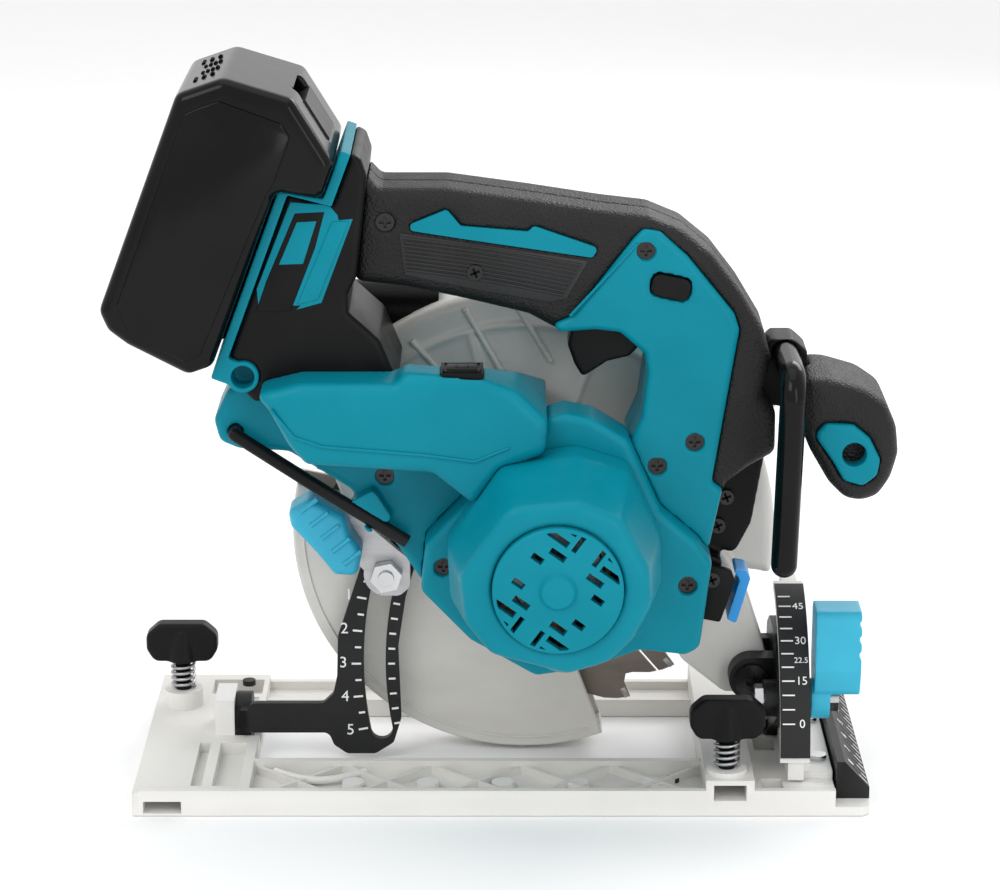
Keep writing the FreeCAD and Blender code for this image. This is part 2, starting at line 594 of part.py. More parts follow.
def spindle_gear():
    return toothed_wheel(BLADE_X, BLADE_Z, GEAR_TEETH, SPINDLE_R, -40, -31, MOTOR_ABOVE_DEG)


def rotor_shaft():
    """Shaft with the pinion cut on its front end, half a pitch off the gear."""
    shaft = cyl_y(MOTOR_X, MOTOR_Z, ROTOR_SHAFT_R, -118, -29)
    phase = MOTOR_ABOVE_DEG + 180 + 180.0 / PINION_TEETH
    pinion = toothed_wheel(MOTOR_X, MOTOR_Z, PINION_TEETH, 1, -41, -30, phase)
    return fuse(shaft, pinion)


def rotor_core():
    return ring_y(MOTOR_X, MOTOR_Z, ROTOR_SHAFT_R, ROTOR_R, -108, -76)


def cooling_fan():
    disc = ring_y(MOTOR_X, MOTOR_Z, ROTOR_SHAFT_R, FAN_R, -64.5, -63)
    hub = ring_y(MOTOR_X, MOTOR_Z, ROTOR_SHAFT_R, 7, -70, -63)
    vanes = []
    for i in range(11):
        vane = box(MOTOR_X + 6, MOTOR_X + FAN_R, -70, -63.5, MOTOR_Z - 0.6, MOTOR_Z + 0.6)
        vanes.append(turned(vane, MOTOR_X, MOTOR_Z, 360.0 * i / 11))
    return fuse(disc, hub, *vanes)


def stator():
    core = ring_y(MOTOR_X, MOTOR_Z, STATOR_BORE, STATOR_R, -107, -77)
    slots = []
    for i in range(6):
        slot = box(MOTOR_X + STATOR_BORE + 2, MOTOR_X + STATOR_R - 4, -110, -70,
                   MOTOR_Z - 3.5, MOTOR_Z + 3.5)
        slots.append(turned(slot, MOTOR_X, MOTOR_Z, 60 * i))
    return cut(core, *slots)


SPINDLE_BEARING = (SPINDLE_R + RUN, 13.0, -20.0, -13.0)
SPINDLE_TAIL_BEARING = (SPINDLE_R + RUN, 9.5, -52.0, -45.0)
ROTOR_BEARING = (ROTOR_SHAFT_R + RUN, 6.5, -61.5, -56.5)
ROTOR_TAIL_BEARING = (ROTOR_SHAFT_R + RUN, 6.5, -118.0, -113.0)


def bearings():
    rings = []
    for x, z, sizes in ((BLADE_X, BLADE_Z, SPINDLE_BEARING),
                        (BLADE_X, BLADE_Z, SPINDLE_TAIL_BEARING),
                        (MOTOR_X, MOTOR_Z, ROTOR_BEARING),
                        (MOTOR_X, MOTOR_Z, ROTOR_TAIL_BEARING)):
        inner, outer, y0, y1 = sizes
        rings.append(ring_y(x, z, inner, outer, y0, y1))
    return group(*rings)


def guard_return_spring():
    coil = Part.makeTorus(29.5, 0.7, FreeCAD.Vector(BLADE_X, -11.6, BLADE_Z),
                          FreeCAD.Vector(0, 1, 0))
    return coil


# ---- drive housings -----------------------------------------------------
def gear_housing():
    """Bearing box between the case and the motor, hollow round the gear pair."""
    body = fuse(cyl_y(BLADE_X, BLADE_Z, 24, -54, CASE_NEAR),
                cyl_y(MOTOR_X, MOTOR_Z, 20, -62, CASE_NEAR))
    body = cut(body, cyl_y(BLADE_X, BLADE_Z, 15.6, -44, -20),
               cyl_y(BLADE_X, BLADE_Z, SPINDLE_BEARING[1], -21, -10),
               cyl_y(BLADE_X, BLADE_Z, SPINDLE_TAIL_BEARING[1], -52, -43),
               cyl_y(MOTOR_X, MOTOR_Z, 6, -44, -27),
               cyl_y(MOTOR_X, MOTOR_Z, 3.2, -63, -40),
               cyl_y(MOTOR_X, MOTOR_Z, ROTOR_BEARING[1], -61.5, -56.5),
               cyl_y(MOTOR_X, MOTOR_Z, 5, -63, -61))
    return body


MOTOR_OUTLINE = [(-114, 110), (-95, 139), (-68, 143), (-49, 137), (-38, 113), (-37, 97),
                 (-44, 80), (-56, 70), (-73, 61), (-100, 73), (-113, 90)]
CAP_OUTLINE = [(-109, 108), (-92, 133), (-68, 135), (-53, 129), (-43, 110), (-42, 98),
               (-49, 85), (-57, 77), (-71, 73), (-98, 80), (-107, 91)]
VENT_R = 23.0


def motor_housing():
    """Faceted shell round the stator, closed by the vent cover."""
    ring = prism_y(MOTOR_OUTLINE, -92, -76, 5)
    cap = taper_y(MOTOR_OUTLINE, -92, CAP_OUTLINE, -124, 5)
    cap = soften(cap, 3.5, on_y(-124))
    solid = fuse(ring, cap)
    return cut(solid, cyl_y(MOTOR_X, MOTOR_Z, STATOR_R, -107, -70),
               cyl_y(MOTOR_X, MOTOR_Z, 25, -120, -106),
               cyl_y(MOTOR_X, MOTOR_Z, VENT_R, -130, -119))


# One quarter of the slot pattern: place across and up, then width and height.
VENT_SLOTS = ((4.4, 18.4, 1.9, 7.2), (11.3, 15.8, 8.4, 2.5), (8.0, 20.4, 2.2, 1.6),
              (8.0, 10.8, 6.4, 2.5), (13.0, 5.6, 4.6, 2.5))
VENT_TURN_DEG = 36.0
VENT_DEPTH = (-135.0, -121.7)


def vent_cover():
    """Round grille over the fan intake, with the tail bearing seat inside."""
    disc = soften(cyl_y(MOTOR_X, MOTOR_Z, VENT_R, -126.6, -122.6), 1, on_y(-126.6))
    boss = cone_y(MOTOR_X, MOTOR_Z, 5.5, 7, -128.4, -126.4)
    seat = cyl_y(MOTOR_X, MOTOR_Z, 9, -122.8, -113)
    solid = fuse(disc, boss, seat)
    window = cyl_y(MOTOR_X, MOTOR_Z, VENT_R - 1.3, *VENT_DEPTH)
    slots = []
    for across, rise, width, height in VENT_SLOTS:
        for side, level in ((-1, -1), (-1, 1), (1, -1), (1, 1)):
            x, z = MOTOR_X + side * across, MOTOR_Z + level * rise
            slot = box(x - width / 2, x + width / 2, *VENT_DEPTH, z - height / 2, z + height / 2)
            slots.append(turned(slot, MOTOR_X, MOTOR_Z, -VENT_TURN_DEG).common(window))
    bore = cyl_y(MOTOR_X, MOTOR_Z, ROTOR_TAIL_BEARING[1], -118, -110)
    return cut(solid, bore, *slots)


FLANGE_OUTLINE = [(-37, 117), (-23, 105), (-18, 98), (-22, 65), (-27, 62), (-44, 64), (-62, 57),
                  (-82, 54), (-106, 68), (-124, 87), (-122, 105), (-104, 124), (-94, 139),
                  (-80, 145), (-79, 152), (-72, 154), (-62, 152), (-49, 144)]


def motor_flange():
    """Wide foot of the motor housing, bolted to the bearing box, round the fan."""
    solid = soften(prism_y(FLANGE_OUTLINE, -76, -56, 4), 2.5, on_y(-76))
    return cut(solid, cyl_y(MOTOR_X, MOTOR_Z, 27.5, -80, -62.2),
               cyl_y(MOTOR_X, MOTOR_Z, 20, -62.2, -50), *[screw_room(*s) for s in FLANGE_SCREWS])


FLANGE_SCREWS = ((-27.0, 89.0, -74.0), (-115.5, 96.0, -74.0))
COVER_SCREWS = ((-43.0, 211.0, -63.2), (-24.5, 140.0, -63.2), (-38.0, 131.0, -63.2))
GRIP_SCREWS = ((-136.0, 221.0, -61.8), (-104.0, 203.0, -62.4))
REAR_SCREWS = ((-137.0, 126.0, -58.6),)
BOSS_R = 3.4


def screw_room(x, z, near):
    """Recess over a screw head, and the hole of its shank."""
    return fuse(cyl_y(x, z, BOSS_R, near - 8, near + 2.2), cyl_y(x, z, 1.8, near, near + 11.2))


def housing_screws():
    return group(*[screw_y(*spot) for spot in
                   FLANGE_SCREWS + COVER_SCREWS + GRIP_SCREWS + REAR_SCREWS])


DUCT_OUTLINE = [(-182, 165), (-166, 169), (-132, 169), (-129, 173), (-102, 171), (-89, 166),
                (-78, 155), (-79, 143), (-94, 137), (-104, 124), (-108, 127), (-119, 136),
                (-164, 139), (-170, 146), (-177, 159)]
BOARD = (-160.0, -114.0, -82.0, -40.0, 144.0, 154.0)
PANEL = (-116.0, -101.0, -89.0, -74.0, 168.0, 172.6)


def duct_housing():
    """Cover over the controller, between battery mount and motor."""
    solid = soften(prism_y(DUCT_OUTLINE, -92, -22, 3.5), 4, on_y(-92))
    above_slope = prism_x([(-76, 171.5), (-76, 190), (0, 190), (0, 143.2)], -200, -60)
    solid = cut(solid, above_slope)
    return cut(solid, mount_body(), mount_trim(), motor_flange_block(), box(*BOARD),
               box(*PANEL), gear_room())


def motor_flange_block():
    return fuse(prism_y(FLANGE_OUTLINE, -76, -56, 4), prism_y(MOTOR_OUTLINE, -130, -76, 5))


def gear_room():
    return fuse(cyl_y(BLADE_X, BLADE_Z, 24, -54, CASE_NEAR),
                cyl_y(MOTOR_X, MOTOR_Z, 20, -62, CASE_NEAR))


WRENCH_X, WRENCH_Z = -191.0, 143.0
WRENCH_R = 2.5
WRENCH_Y = -64.5


def rear_housing():
    """Gear-side shell that shows below the duct, with the wrench holder lug."""
    outline = [(-186, 163), (-194, 158), (-199, 147), (-197, 139), (-190, 136), (-172, 135),
               (-150, 121), (-132, 98), (-123, 84), (-112, 88), (-100, 124), (-112, 142),
               (-170, 158)]
    solid = soften(prism_y(outline, -60, -30, 4), 2.5, on_y(-60))
    solid = cut(solid, duct_block(), mount_body(), mount_trim(), motor_flange_block(),
                gear_room())
    solid = cut(solid, cyl_y(WRENCH_X, WRENCH_Z, WRENCH_R + 0.3, -90, 0),
                *[screw_room(*s) for s in REAR_SCREWS])
    return fuse(solid, wrench_clip())


def duct_block():
    return prism_y(DUCT_OUTLINE, -92, -22, 3.5)


def controller_board():
    return box(*BOARD)


def mode_panel():
    """Small panel with the mode button."""
    x0, x1, y0, y1, z0, z1 = PANEL
    return box(x0, x1, y0, y1, z0, z1)


# ---- handle -------------------------------------------------------------
HANDLE_OUTLINE = [(-146, 242), (-138, 233), (-114, 233), (-85, 229), (-59, 225), (-42, 223),
                  (-30, 218), (-19, 209), (-9, 196), (0, 181), (3, 170), (0, 157), (5, 150),
                  (5, 135), (-4, 130), (-13, 123), (-19, 98), (-37, 113), (-41, 122), (-49, 138),
                  (-44, 149), (-42, 166), (-43, 173), (-52, 181), (-61, 182), (-74, 181),
                  (-85, 187), (-110, 193), (-129, 197), (-147, 199), (-150, 220)]
COVER_OUTLINE = [(-44, 219), (-38, 218), (-28, 209), (-11, 188), (-9, 182), (-18, 125),
                 (-14, 122), (-19, 98), (-37, 113), (-41, 122), (-49, 138), (-44, 149),
                 (-42, 166), (-43, 173), (-52, 181), (-61, 182), (-74, 181), (-76, 184),
                 (-69, 187), (-47, 216)]
INLAY_OUTLINE = [(-131, 219), (-114, 226), (-109, 220), (-85, 218), (-83, 220), (-60, 212),
                 (-62, 208.5), (-109, 215.5)]
HOOK_X, HOOK_Z, HOOK_Y = 9.0, 169.0, -84.0
HOOK_LEG = 61.0
HOOK_R = 4.75
SWITCH = (-92.0, -62.0, -54.0, -36.0, 192.0, 208.0)
TRIGGER_X, TRIGGER_Z = -47.0, 184.0
TRIGGER_STUB_R = 1.6
LOCK_OFF_X, LOCK_OFF_Z = -34.0, 198.0


def handle_rooms():
    """Everything the handle shells leave open inside."""
    trigger = prism_y([(-78, 194), (-80, 176), (-74, 150), (-44.5, 150), (-43.5, 186),
                       (-46, 193)], -53.2, -36.8)
    return [box(*SWITCH), trigger, lock_off_block(0.4, -80, -10),
            cyl_y(TRIGGER_X, TRIGGER_Z, TRIGGER_STUB_R + RUN, -57.2, -32.8),
            cyl_y(HOOK_X, HOOK_Z, HOOK_R + 0.4, -90, -48), hook_bracket_block()]


def lock_off_block(extra, y0, y1):
    half_x, half_z = 7 + extra, 4 + extra
    block = prism_y([(LOCK_OFF_X - half_x, LOCK_OFF_Z - half_z),
                     (LOCK_OFF_X + half_x, LOCK_OFF_Z - half_z),
                     (LOCK_OFF_X + half_x, LOCK_OFF_Z + half_z),
                     (LOCK_OFF_X - half_x, LOCK_OFF_Z + half_z)], y0, y1, 3)
    return turned(block, LOCK_OFF_X, LOCK_OFF_Z, -12)


def grip_half_near():
    solid = soften(prism_y(HANDLE_OUTLINE, HANDLE_NEAR, HANDLE_MID, 3.5), 5, on_y(HANDLE_NEAR))
    inlay = prism_y(INLAY_OUTLINE, -70, HANDLE_NEAR + 2, 1.5)
    solid = cut(solid, prism_y(COVER_OUTLINE, -70, HANDLE_MID, 2), mount_body(), mount_trim(),
                motor_flange_block(), inlay, *handle_rooms(),
                *[screw_room(*s) for s in GRIP_SCREWS])
    return largest(solid)


def grip_half_far():
    solid = soften(prism_y(HANDLE_OUTLINE, HANDLE_MID, HANDLE_FAR, 3.5), 5, on_y(HANDLE_FAR))
    solid = cut(solid, prism_y(COVER_OUTLINE, HANDLE_MID, -10, 2), mount_body(), mount_trim(),
                *handle_rooms(), *[screw_room(*s) for s in GRIP_SCREWS])
    return largest(solid)


def pillar_cover_near():
    """Moulded front pillar of the handle, motor side."""
    solid = soften(prism_y(COVER_OUTLINE, HANDLE_NEAR - 1.8, HANDLE_MID, 2), 2,
                   on_y(HANDLE_NEAR - 1.8))
    return cut(solid, motor_flange_block(), *handle_rooms(),
               *[screw_room(*s) for s in COVER_SCREWS])


def pillar_cover_far():
    solid = soften(prism_y(COVER_OUTLINE, HANDLE_MID, HANDLE_FAR + 1.8, 2), 2,
                   on_y(HANDLE_FAR + 1.8))
    return cut(solid, motor_flange_block(), *handle_rooms(),
               *[screw_room(*s) for s in COVER_SCREWS])


def grip_inlay():
    return prism_y(INLAY_OUTLINE, HANDLE_NEAR - 0.8, HANDLE_NEAR + 2, 1.5)


def switch_body():
    return box(*SWITCH)


def trigger():
    outline = [(-58, 189), (-68, 186), (-70.5, 173), (-68, 166), (-65, 161), (-62, 163),
               (-56, 167), (-48, 169), (-45, 172), (-44.3, 184), (-48, 188)]
    solid = prism_y(outline, -52, -38, 2)
    solid = soften(soften(solid, 1.5, on_y(-52)), 1.5, on_y(-38))
    return fuse(solid, cyl_y(TRIGGER_X, TRIGGER_Z, TRIGGER_STUB_R, -56.8, -33.2))


def lock_off_button():
    return lock_off_block(0, -66.5, -27.5)


# ---- battery and its mount ----------------------------------------------
def pack(u, v):
    """Battery coordinates: u along the slide-off direction, v towards the tool."""
    return u * PACK_SIN + v * PACK_COS, u * PACK_COS - v * PACK_SIN


def pack_prism(points, y0, y1, radius=0.0):
    return prism_y([pack(u, v) for u, v in points], y0, y1, radius)


def pack_box(u0, u1, v0, v1, y0, y1):
    return pack_prism([(u0, v0), (u1, v0), (u1, v1), (u0, v1)], y0, y1)


SEAM_V = -244.4
TRIM_V = -240.6
STEP_U = 160.0
TOP_V = -228.6
PACK_RIDGE = (192.0, -275.5)
SLOPE_HIGH = (193.5, -250.0)
SLOPE_LOW = (177.0, TOP_V - 0.4)


def mount_body():
    outline = [pack(90, TRIM_V), pack(STEP_U - 0.6, TRIM_V), pack(STEP_U + 1, TOP_V + 4),
               pack(181, TOP_V + 4), (-144, 246), (-142, 240), (-146, 203), (-149, 197),
               (-149, 190), (-138, 180), (-131, 163), (-137, 161), (-168, 160), (-183, 157)]
    return prism_y(outline, MOUNT_NEAR, MOUNT_FAR, 1.2)


def battery_mount():
    """Socket that the battery slides on to."""
    solid = soften(mount_body(), 3, on_y(MOUNT_NEAR))
    return cut(solid, rail_shape(0.5), terminal_room(), mount_trim(), eyelet_block())


def eyelet_block():
    return cyl_y(EYELET_X, EYELET_Z, 5.8, MOUNT_NEAR - 2, MOUNT_NEAR + 11)


def mount_trim():
    """Band round the battery opening, with the through eyelet at its foot."""
    band = pack_prism([(92, SEAM_V + 0.3), (STEP_U - 0.3, SEAM_V + 0.3),
                       (STEP_U - 0.6, TRIM_V), (92, TRIM_V)], MOUNT_NEAR - 2, MOUNT_FAR + 2)
    top = pack_prism([(STEP_U + 2.6, TOP_V + 0.3), (181, TOP_V + 0.3), (181, TOP_V + 4),
                      (STEP_U + 1.0, TOP_V + 4), (STEP_U - 0.6, TRIM_V), (STEP_U - 0.3, TRIM_V - 3)],
                     MOUNT_NEAR - 2, MOUNT_FAR + 2)
    strap = pack_prism([(87, SEAM_V + 0.3), (96, SEAM_V + 0.3), (96, -236), (87, -236)],
                       MOUNT_NEAR - 2, MOUNT_FAR + 2)
    solid = fuse(band, top, cut(strap, terminal_room()), eyelet_block())
    return cut(solid, rail_shape(0.5),
               cyl_y(EYELET_X, EYELET_Z, EYELET_HOLE, MOUNT_NEAR - 2, MOUNT_NEAR + 8))


def rail_shape(gap):
    """Tee rail of the battery; gap widens it into the socket's channel."""
    end = 190 if gap else STEP_U + 3
    neck = pack_box(100 - 4 * gap, end, SEAM_V - 1, -238 + gap, -64 - gap, -26 + gap)
    flange = pack_box(100 - 4 * gap, end, -241 - gap, -236 + gap, -68 - gap, -22 + gap)
    return fuse(neck, flange)


def terminal_room():
    return pack_box(92, 99, TRIM_V, -232, -60, -30)


def terminal_block():
    """Insulated block with two contact blades that enter the battery."""
    block = pack_box(92, 97.4, TRIM_V, -232, -60, -30)
    blades = [pack_box(97, 108, -240.3, -237.4, y, y + 0.8) for y in (-56, -35)]
    return fuse(block, *blades)


def battery_case():
    """Moulded pack body with its tee rail."""
    outline = [PACK_RIDGE, (181, -288.8), (98, -289.3), (92.5, -284), (90, -276), (87, -252),
               (93, -245),
               (STEP_U + 0.6, -245), (STEP_U + 3.2, TOP_V - 0.4), SLOPE_LOW, SLOPE_HIGH]
    body = pack_prism(outline, PACK_NEAR, PACK_FAR, 4)
    body = soften(soften(body, 4, on_y(PACK_NEAR)), 4, on_y(PACK_FAR))
    solid = fuse(body, rail_shape(0))
    slots = [pack_box(95, 112, -241.3, -236.8, y - 0.8, y + 1.6) for y in (-56, -35)]
    rows = [cell_cylinder(i, row, 0) for i in range(5) for row in range(2)]
    return cut(solid, *slots, *rows, latch_room())


def cell_cylinder(index, row, shrink):
    u, v = FIRST_CELL[0] + CELL_PITCH * index, FIRST_CELL[1] + CELL_PITCH * row
    x, z = pack(u, v)
    middle = (PACK_NEAR + PACK_FAR) / 2
    half = CELL_LENGTH / 2 - shrink
    return cyl_y(x, z, CELL_R - shrink, middle - half, middle + half)


def battery_cells():
    return group(*[cell_cylinder(i, row, 0.05) for i in range(5) for row in range(2)])


def slope_prism(near_end, far_end, depth, height, y0, y1):
    """Block on the sloping end face, between two distances down the slope from its top."""
    run_u, run_v = SLOPE_LOW[0] - SLOPE_HIGH[0], SLOPE_LOW[1] - SLOPE_HIGH[1]
    length = math.hypot(run_u, run_v)
    run_u, run_v = run_u / length, run_v / length
    out_u, out_v = run_v, -run_u

    def spot(along, out):
        return (SLOPE_HIGH[0] + run_u * along + out_u * out,
                SLOPE_HIGH[1] + run_v * along + out_v * out)

    return pack_prism([spot(near_end, -depth), spot(far_end, -depth), spot(far_end, height),
                       spot(near_end, height)], y0, y1)


def latch_room():
    return slope_prism(-0.6, 21.4, 8.2, 6, -60, -30)


def battery_latch():
    """Release button in the sloping end of the pack, with a finger notch above it."""
    return slope_prism(5, 21, 5.0, 0.6, -59.6, -30.4)


# ---- front parts --------------------------------------------------------
GRIP_SECTION = [(12, 150), (13, 165.5), (24, 165), (36, 161.5), (44, 156), (48, 147), (49, 137),
                (46.5, 128), (42, 121), (36, 119), (30, 120), (24, 126), (17, 138)]
GRIP_NEAR, GRIP_FAR = -72.0, -28.0
CAP_SECTION = [(18, 145), (22, 149.5), (32, 149), (38, 144), (42, 136), (41, 130), (36, 126),
               (29, 128), (25, 135)]
GRIP_EYE_X, GRIP_EYE_Z, GRIP_EYE_R = 32.5, 138.0, 4.4


def front_grip():
    solid = prism_y(GRIP_SECTION, GRIP_NEAR, GRIP_FAR, 6)
    solid = soften(soften(solid, 6, on_y(GRIP_NEAR)), 6, on_y(GRIP_FAR))
    seat = prism_y(CAP_SECTION, -80, -66, 3)
    return cut(solid, seat, *front_rooms())


def front_rooms():
    return [cyl_y(HOOK_X, HOOK_Z, HOOK_R + 0.4, -90, -48), hook_bracket_block()]


def front_grip_cap():
    solid = soften(prism_y(CAP_SECTION, -73.5, -66, 3), 1.5, on_y(-73.5))
    return cut(solid, cyl_y(GRIP_EYE_X, GRIP_EYE_Z, GRIP_EYE_R, -80, -60))


def hook_bracket_block():
    return prism_y([(-1, 150), (14, 148), (18, 155), (17, 170), (12, 174.5), (4, 174.5),
                    (-1, 168)], -48, -30, 2)


def hook_bracket():
    """Block that joins the handle to the front grip and carries the hook."""
    return cut(hook_bracket_block(), cyl_y(HOOK_X, HOOK_Z, HOOK_R + RUN, -60, -32))


def front_cover():
    """Dark block between pillar and case."""
    solid = prism_y([(-26, 97), (-8, 92), (-2, 104), (2, 128), (6, 150), (-1, 160), (-26, 160)],
                    -46, CASE_NEAR, 3)
    handle = prism_y(HANDLE_OUTLINE, HANDLE_NEAR, HANDLE_FAR, 3.5)
    cover = prism_y(COVER_OUTLINE, HANDLE_NEAR, HANDLE_FAR + 1.8, 2)
    case = band_y(BLADE_X, BLADE_Z, 20, CASE_R + 0.2, -12, 170, CASE_NEAR - 1.3, CASE_FAR)
    arm = prism_y([(-26, 44), (-10, 31), (0, 31), (7.5, 39), (5, 50), (-2, 72), (-20, 100),
                   (-44, 100), (-40, 70)], -29.4, 0, 5)
    return cut(fuse(solid, shaft_lock_guide()), handle, cover, case, arm, hook_bracket_block(),
               cyl_x(-48, 80, 2.3, -40, 0), motor_flange_block())


def hanging_hook():
    leg = Part.makeCylinder(HOOK_R, HOOK_LEG, FreeCAD.Vector(HOOK_X, HOOK_Y, HOOK_Z - 8),
                            FreeCAD.Vector(-0.03, 0, -1))
    bar = cyl_y(HOOK_X, HOOK_Z, HOOK_R, HOOK_Y + 8, -32.6)
    bend_circle = Part.makeTorus(8, HOOK_R, FreeCAD.Vector(HOOK_X, HOOK_Y + 8, HOOK_Z - 8),
                                 FreeCAD.Vector(1, 0, 0))
    corner = bend_circle.common(box(HOOK_X - 9, HOOK_X + 9, HOOK_Y - 10, HOOK_Y + 8,
                                    HOOK_Z - 8, HOOK_Z + 8))
    tip_x, tip_z = HOOK_X - 0.03 * HOOK_LEG, HOOK_Z - 8 - HOOK_LEG
    tip = Part.makeSphere(HOOK_R, FreeCAD.Vector(tip_x, HOOK_Y, tip_z))
    return fuse(leg, corner, bar, tip)


def hex_wrench():
    """Bent key for the blade bolt: one leg in the lug, the other along the housing."""
    def rod(start, end):
        axis = FreeCAD.Vector(*end) - FreeCAD.Vector(*start)
        return Part.makeCylinder(WRENCH_R, axis.Length, FreeCAD.Vector(*start), axis)

    knee = (WRENCH_X, WRENCH_Y, WRENCH_Z)
    middle = (-161, WRENCH_Y, 123)
    tip = (-129, WRENCH_Y, 102.5)
    balls = [Part.makeSphere(WRENCH_R, FreeCAD.Vector(*p)) for p in (knee, middle)]
    return fuse(rod(knee, (WRENCH_X, -40, WRENCH_Z)), rod(knee, middle), rod(middle, tip), *balls)


def wrench_clip():
    """Open clip on the rear shell that grips the key."""
    block = prism_y([(-150, 118), (-141, 123), (-134, 112), (-143, 106)], -67.5, -59.5, 1.5)
    channel = Part.makeCylinder(WRENCH_R + 0.35, 60, FreeCAD.Vector(-170, WRENCH_Y, 128.77),
                                FreeCAD.Vector(32, 0, -20.5))
    mouth = prism_y([(-171, 126.4), (-169, 131.1), (-120, 99.7), (-122, 95)], -75, WRENCH_Y)
    return cut(block, channel, mouth)


def shaft_lock_guide():
    return prism_y([(-26, 97), (-13, 92), (-15, 68), (-26, 70)], -54, -30, 1.5)


def shaft_lock():
    """Push button that locks the spindle."""
    face = prism_y([(-9.5, 89), (-4, 88), (-2.5, 85), (-7.5, 67.5), (-11, 69), (-6.5, 84.5)],
                   -55, -41, 0.8)
    stem = cyl_x(-48, 80, 2, -31, -6)
    return fuse(face, stem)


# ---- depth lock ---------------------------------------------------------
LEVER_Y = (-26.0, -22.6)


def depth_lock_bolt():
    """Bolt through the depth slot, with washer and end nut."""
    shank = cyl_y(LOCK_X, LOCK_Z, LOCK_BOLT_R, -32.5, CAVITY_NEAR)
    washer = cut(cyl_y(LOCK_X, LOCK_Z, 8.5, -22.2, -20.9), cyl_y(LOCK_X, LOCK_Z, 3, -30, -10))
    nut = cut(hexagon_y(LOCK_X, LOCK_Z, 6.2, -31, -26.4), cyl_y(LOCK_X, LOCK_Z, 3, -40, -10))
    return group(shank, washer, nut)


def depth_lever_arm():
    plate = prism_y([(-129, 72), (-129, 83), (-134, 87), (-152, 103), (-162, 95), (-144, 76),
                     (-139, 68.5), (-133, 68.5)], *LEVER_Y, 4)
    hub = cyl_y(LOCK_X, LOCK_Z, 8.6, -26, -22.6)
    return cut(fuse(plate, hub), cyl_y(LOCK_X, LOCK_Z, LOCK_BOLT_R + RUN, -40, -10))


def depth_lever_knob():
    outline = [(-166, 111), (-174, 106), (-173, 100), (-164, 90), (-157, 81), (-148.5, 80.5),
               (-146.5, 90), (-151, 97), (-153, 104)]
    solid = soften(prism_y(outline, -40, LEVER_Y[0], 3), 3, on_y(-40))
    return solid


MAKERS = [base_plate, bevel_quadrant, bevel_scale_plate, front_ruler, base_pins_and_screws,
          clamp_springs, tilt_bracket, depth_pivot_pin, depth_guide, bevel_clamp_bolt,
          bevel_lever, blade_case, dust_nozzle, lower_guard, saw_blade, blade_flanges,
          blade_bolt, spindle, spindle_gear, rotor_shaft, rotor_core, cooling_fan, stator,
          bearings, guard_return_spring, gear_housing, motor_housing, vent_cover, motor_flange,
          housing_screws, duct_housing, rear_housing, controller_board, mode_panel,
          grip_half_near, grip_half_far, pillar_cover_near, pillar_cover_far, grip_inlay,
          switch_body, trigger, lock_off_button, battery_mount, mount_trim, terminal_block,
          battery_case, battery_cells, battery_latch, front_grip, front_grip_cap, hook_bracket,
          front_cover, hanging_hook, hex_wrench, shaft_lock, depth_lock_bolt, depth_lever_arm,
          depth_lever_knob]


def make_all():
    for maker in MAKERS:
        NODES[maker.__name__] = maker()
    wings = {"front": (FRONT_WING_X, FRONT_WING_Y, FENCE_FRONT[3] + 0.3),
             "rear": (REAR_WING_X, REAR_WING_Y, FENCE_REAR[3] + 0.3)}
    for name, (x, y, bottom) in wings.items():
        NODES[name + "_wing_screw"] = fuse(wing_knob(x, y), wing_stud(x, y, bottom))


make_all()
os.makedirs("parts", exist_ok=True)
for node, shape in NODES.items():
    if not shape.isValid() or not shape.Solids:
        print("check", node)
    shape.exportStep("parts/" + node + ".step")
print(len(NODES), "nodes")
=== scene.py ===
import json
import math
import bmesh
import bpy
from mathutils import Matrix, Vector


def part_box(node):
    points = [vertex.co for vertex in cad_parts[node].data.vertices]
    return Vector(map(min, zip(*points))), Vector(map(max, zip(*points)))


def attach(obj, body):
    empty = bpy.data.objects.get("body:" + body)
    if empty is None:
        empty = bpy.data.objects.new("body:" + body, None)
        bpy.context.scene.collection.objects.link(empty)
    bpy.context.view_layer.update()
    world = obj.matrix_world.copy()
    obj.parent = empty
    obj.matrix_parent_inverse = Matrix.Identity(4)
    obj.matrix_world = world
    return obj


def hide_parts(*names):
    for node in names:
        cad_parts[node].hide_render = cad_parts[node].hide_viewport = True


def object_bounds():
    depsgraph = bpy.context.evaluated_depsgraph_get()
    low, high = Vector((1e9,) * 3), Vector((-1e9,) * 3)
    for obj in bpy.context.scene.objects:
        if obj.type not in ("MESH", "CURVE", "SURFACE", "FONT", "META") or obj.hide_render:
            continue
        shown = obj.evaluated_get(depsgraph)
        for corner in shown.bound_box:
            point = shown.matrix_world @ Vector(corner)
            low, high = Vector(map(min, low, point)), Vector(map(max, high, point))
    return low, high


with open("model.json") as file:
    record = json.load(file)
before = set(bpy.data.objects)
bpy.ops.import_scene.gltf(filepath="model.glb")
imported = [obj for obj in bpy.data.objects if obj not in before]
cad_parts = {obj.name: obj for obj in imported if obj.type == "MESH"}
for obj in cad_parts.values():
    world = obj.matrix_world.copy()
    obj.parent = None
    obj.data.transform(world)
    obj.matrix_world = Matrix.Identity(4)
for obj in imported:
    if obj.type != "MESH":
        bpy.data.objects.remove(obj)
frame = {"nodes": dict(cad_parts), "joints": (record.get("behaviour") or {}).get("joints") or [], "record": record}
CAD_BOX = [list(corner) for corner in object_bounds()]

MM = 0.001
IN_PLACE = Matrix.Identity(4)
COLLECTION = bpy.context.scene.collection
SLOT_OF = {part["node"]: part["material_slot"] for part in frame["record"]["subparts"]}
BODY_OF = {node: body for body, nodes in frame["record"]["behaviour"]["bodies"].items()
           for node in nodes}
JOINTS = {joint["name"]: joint for joint in frame["joints"]}


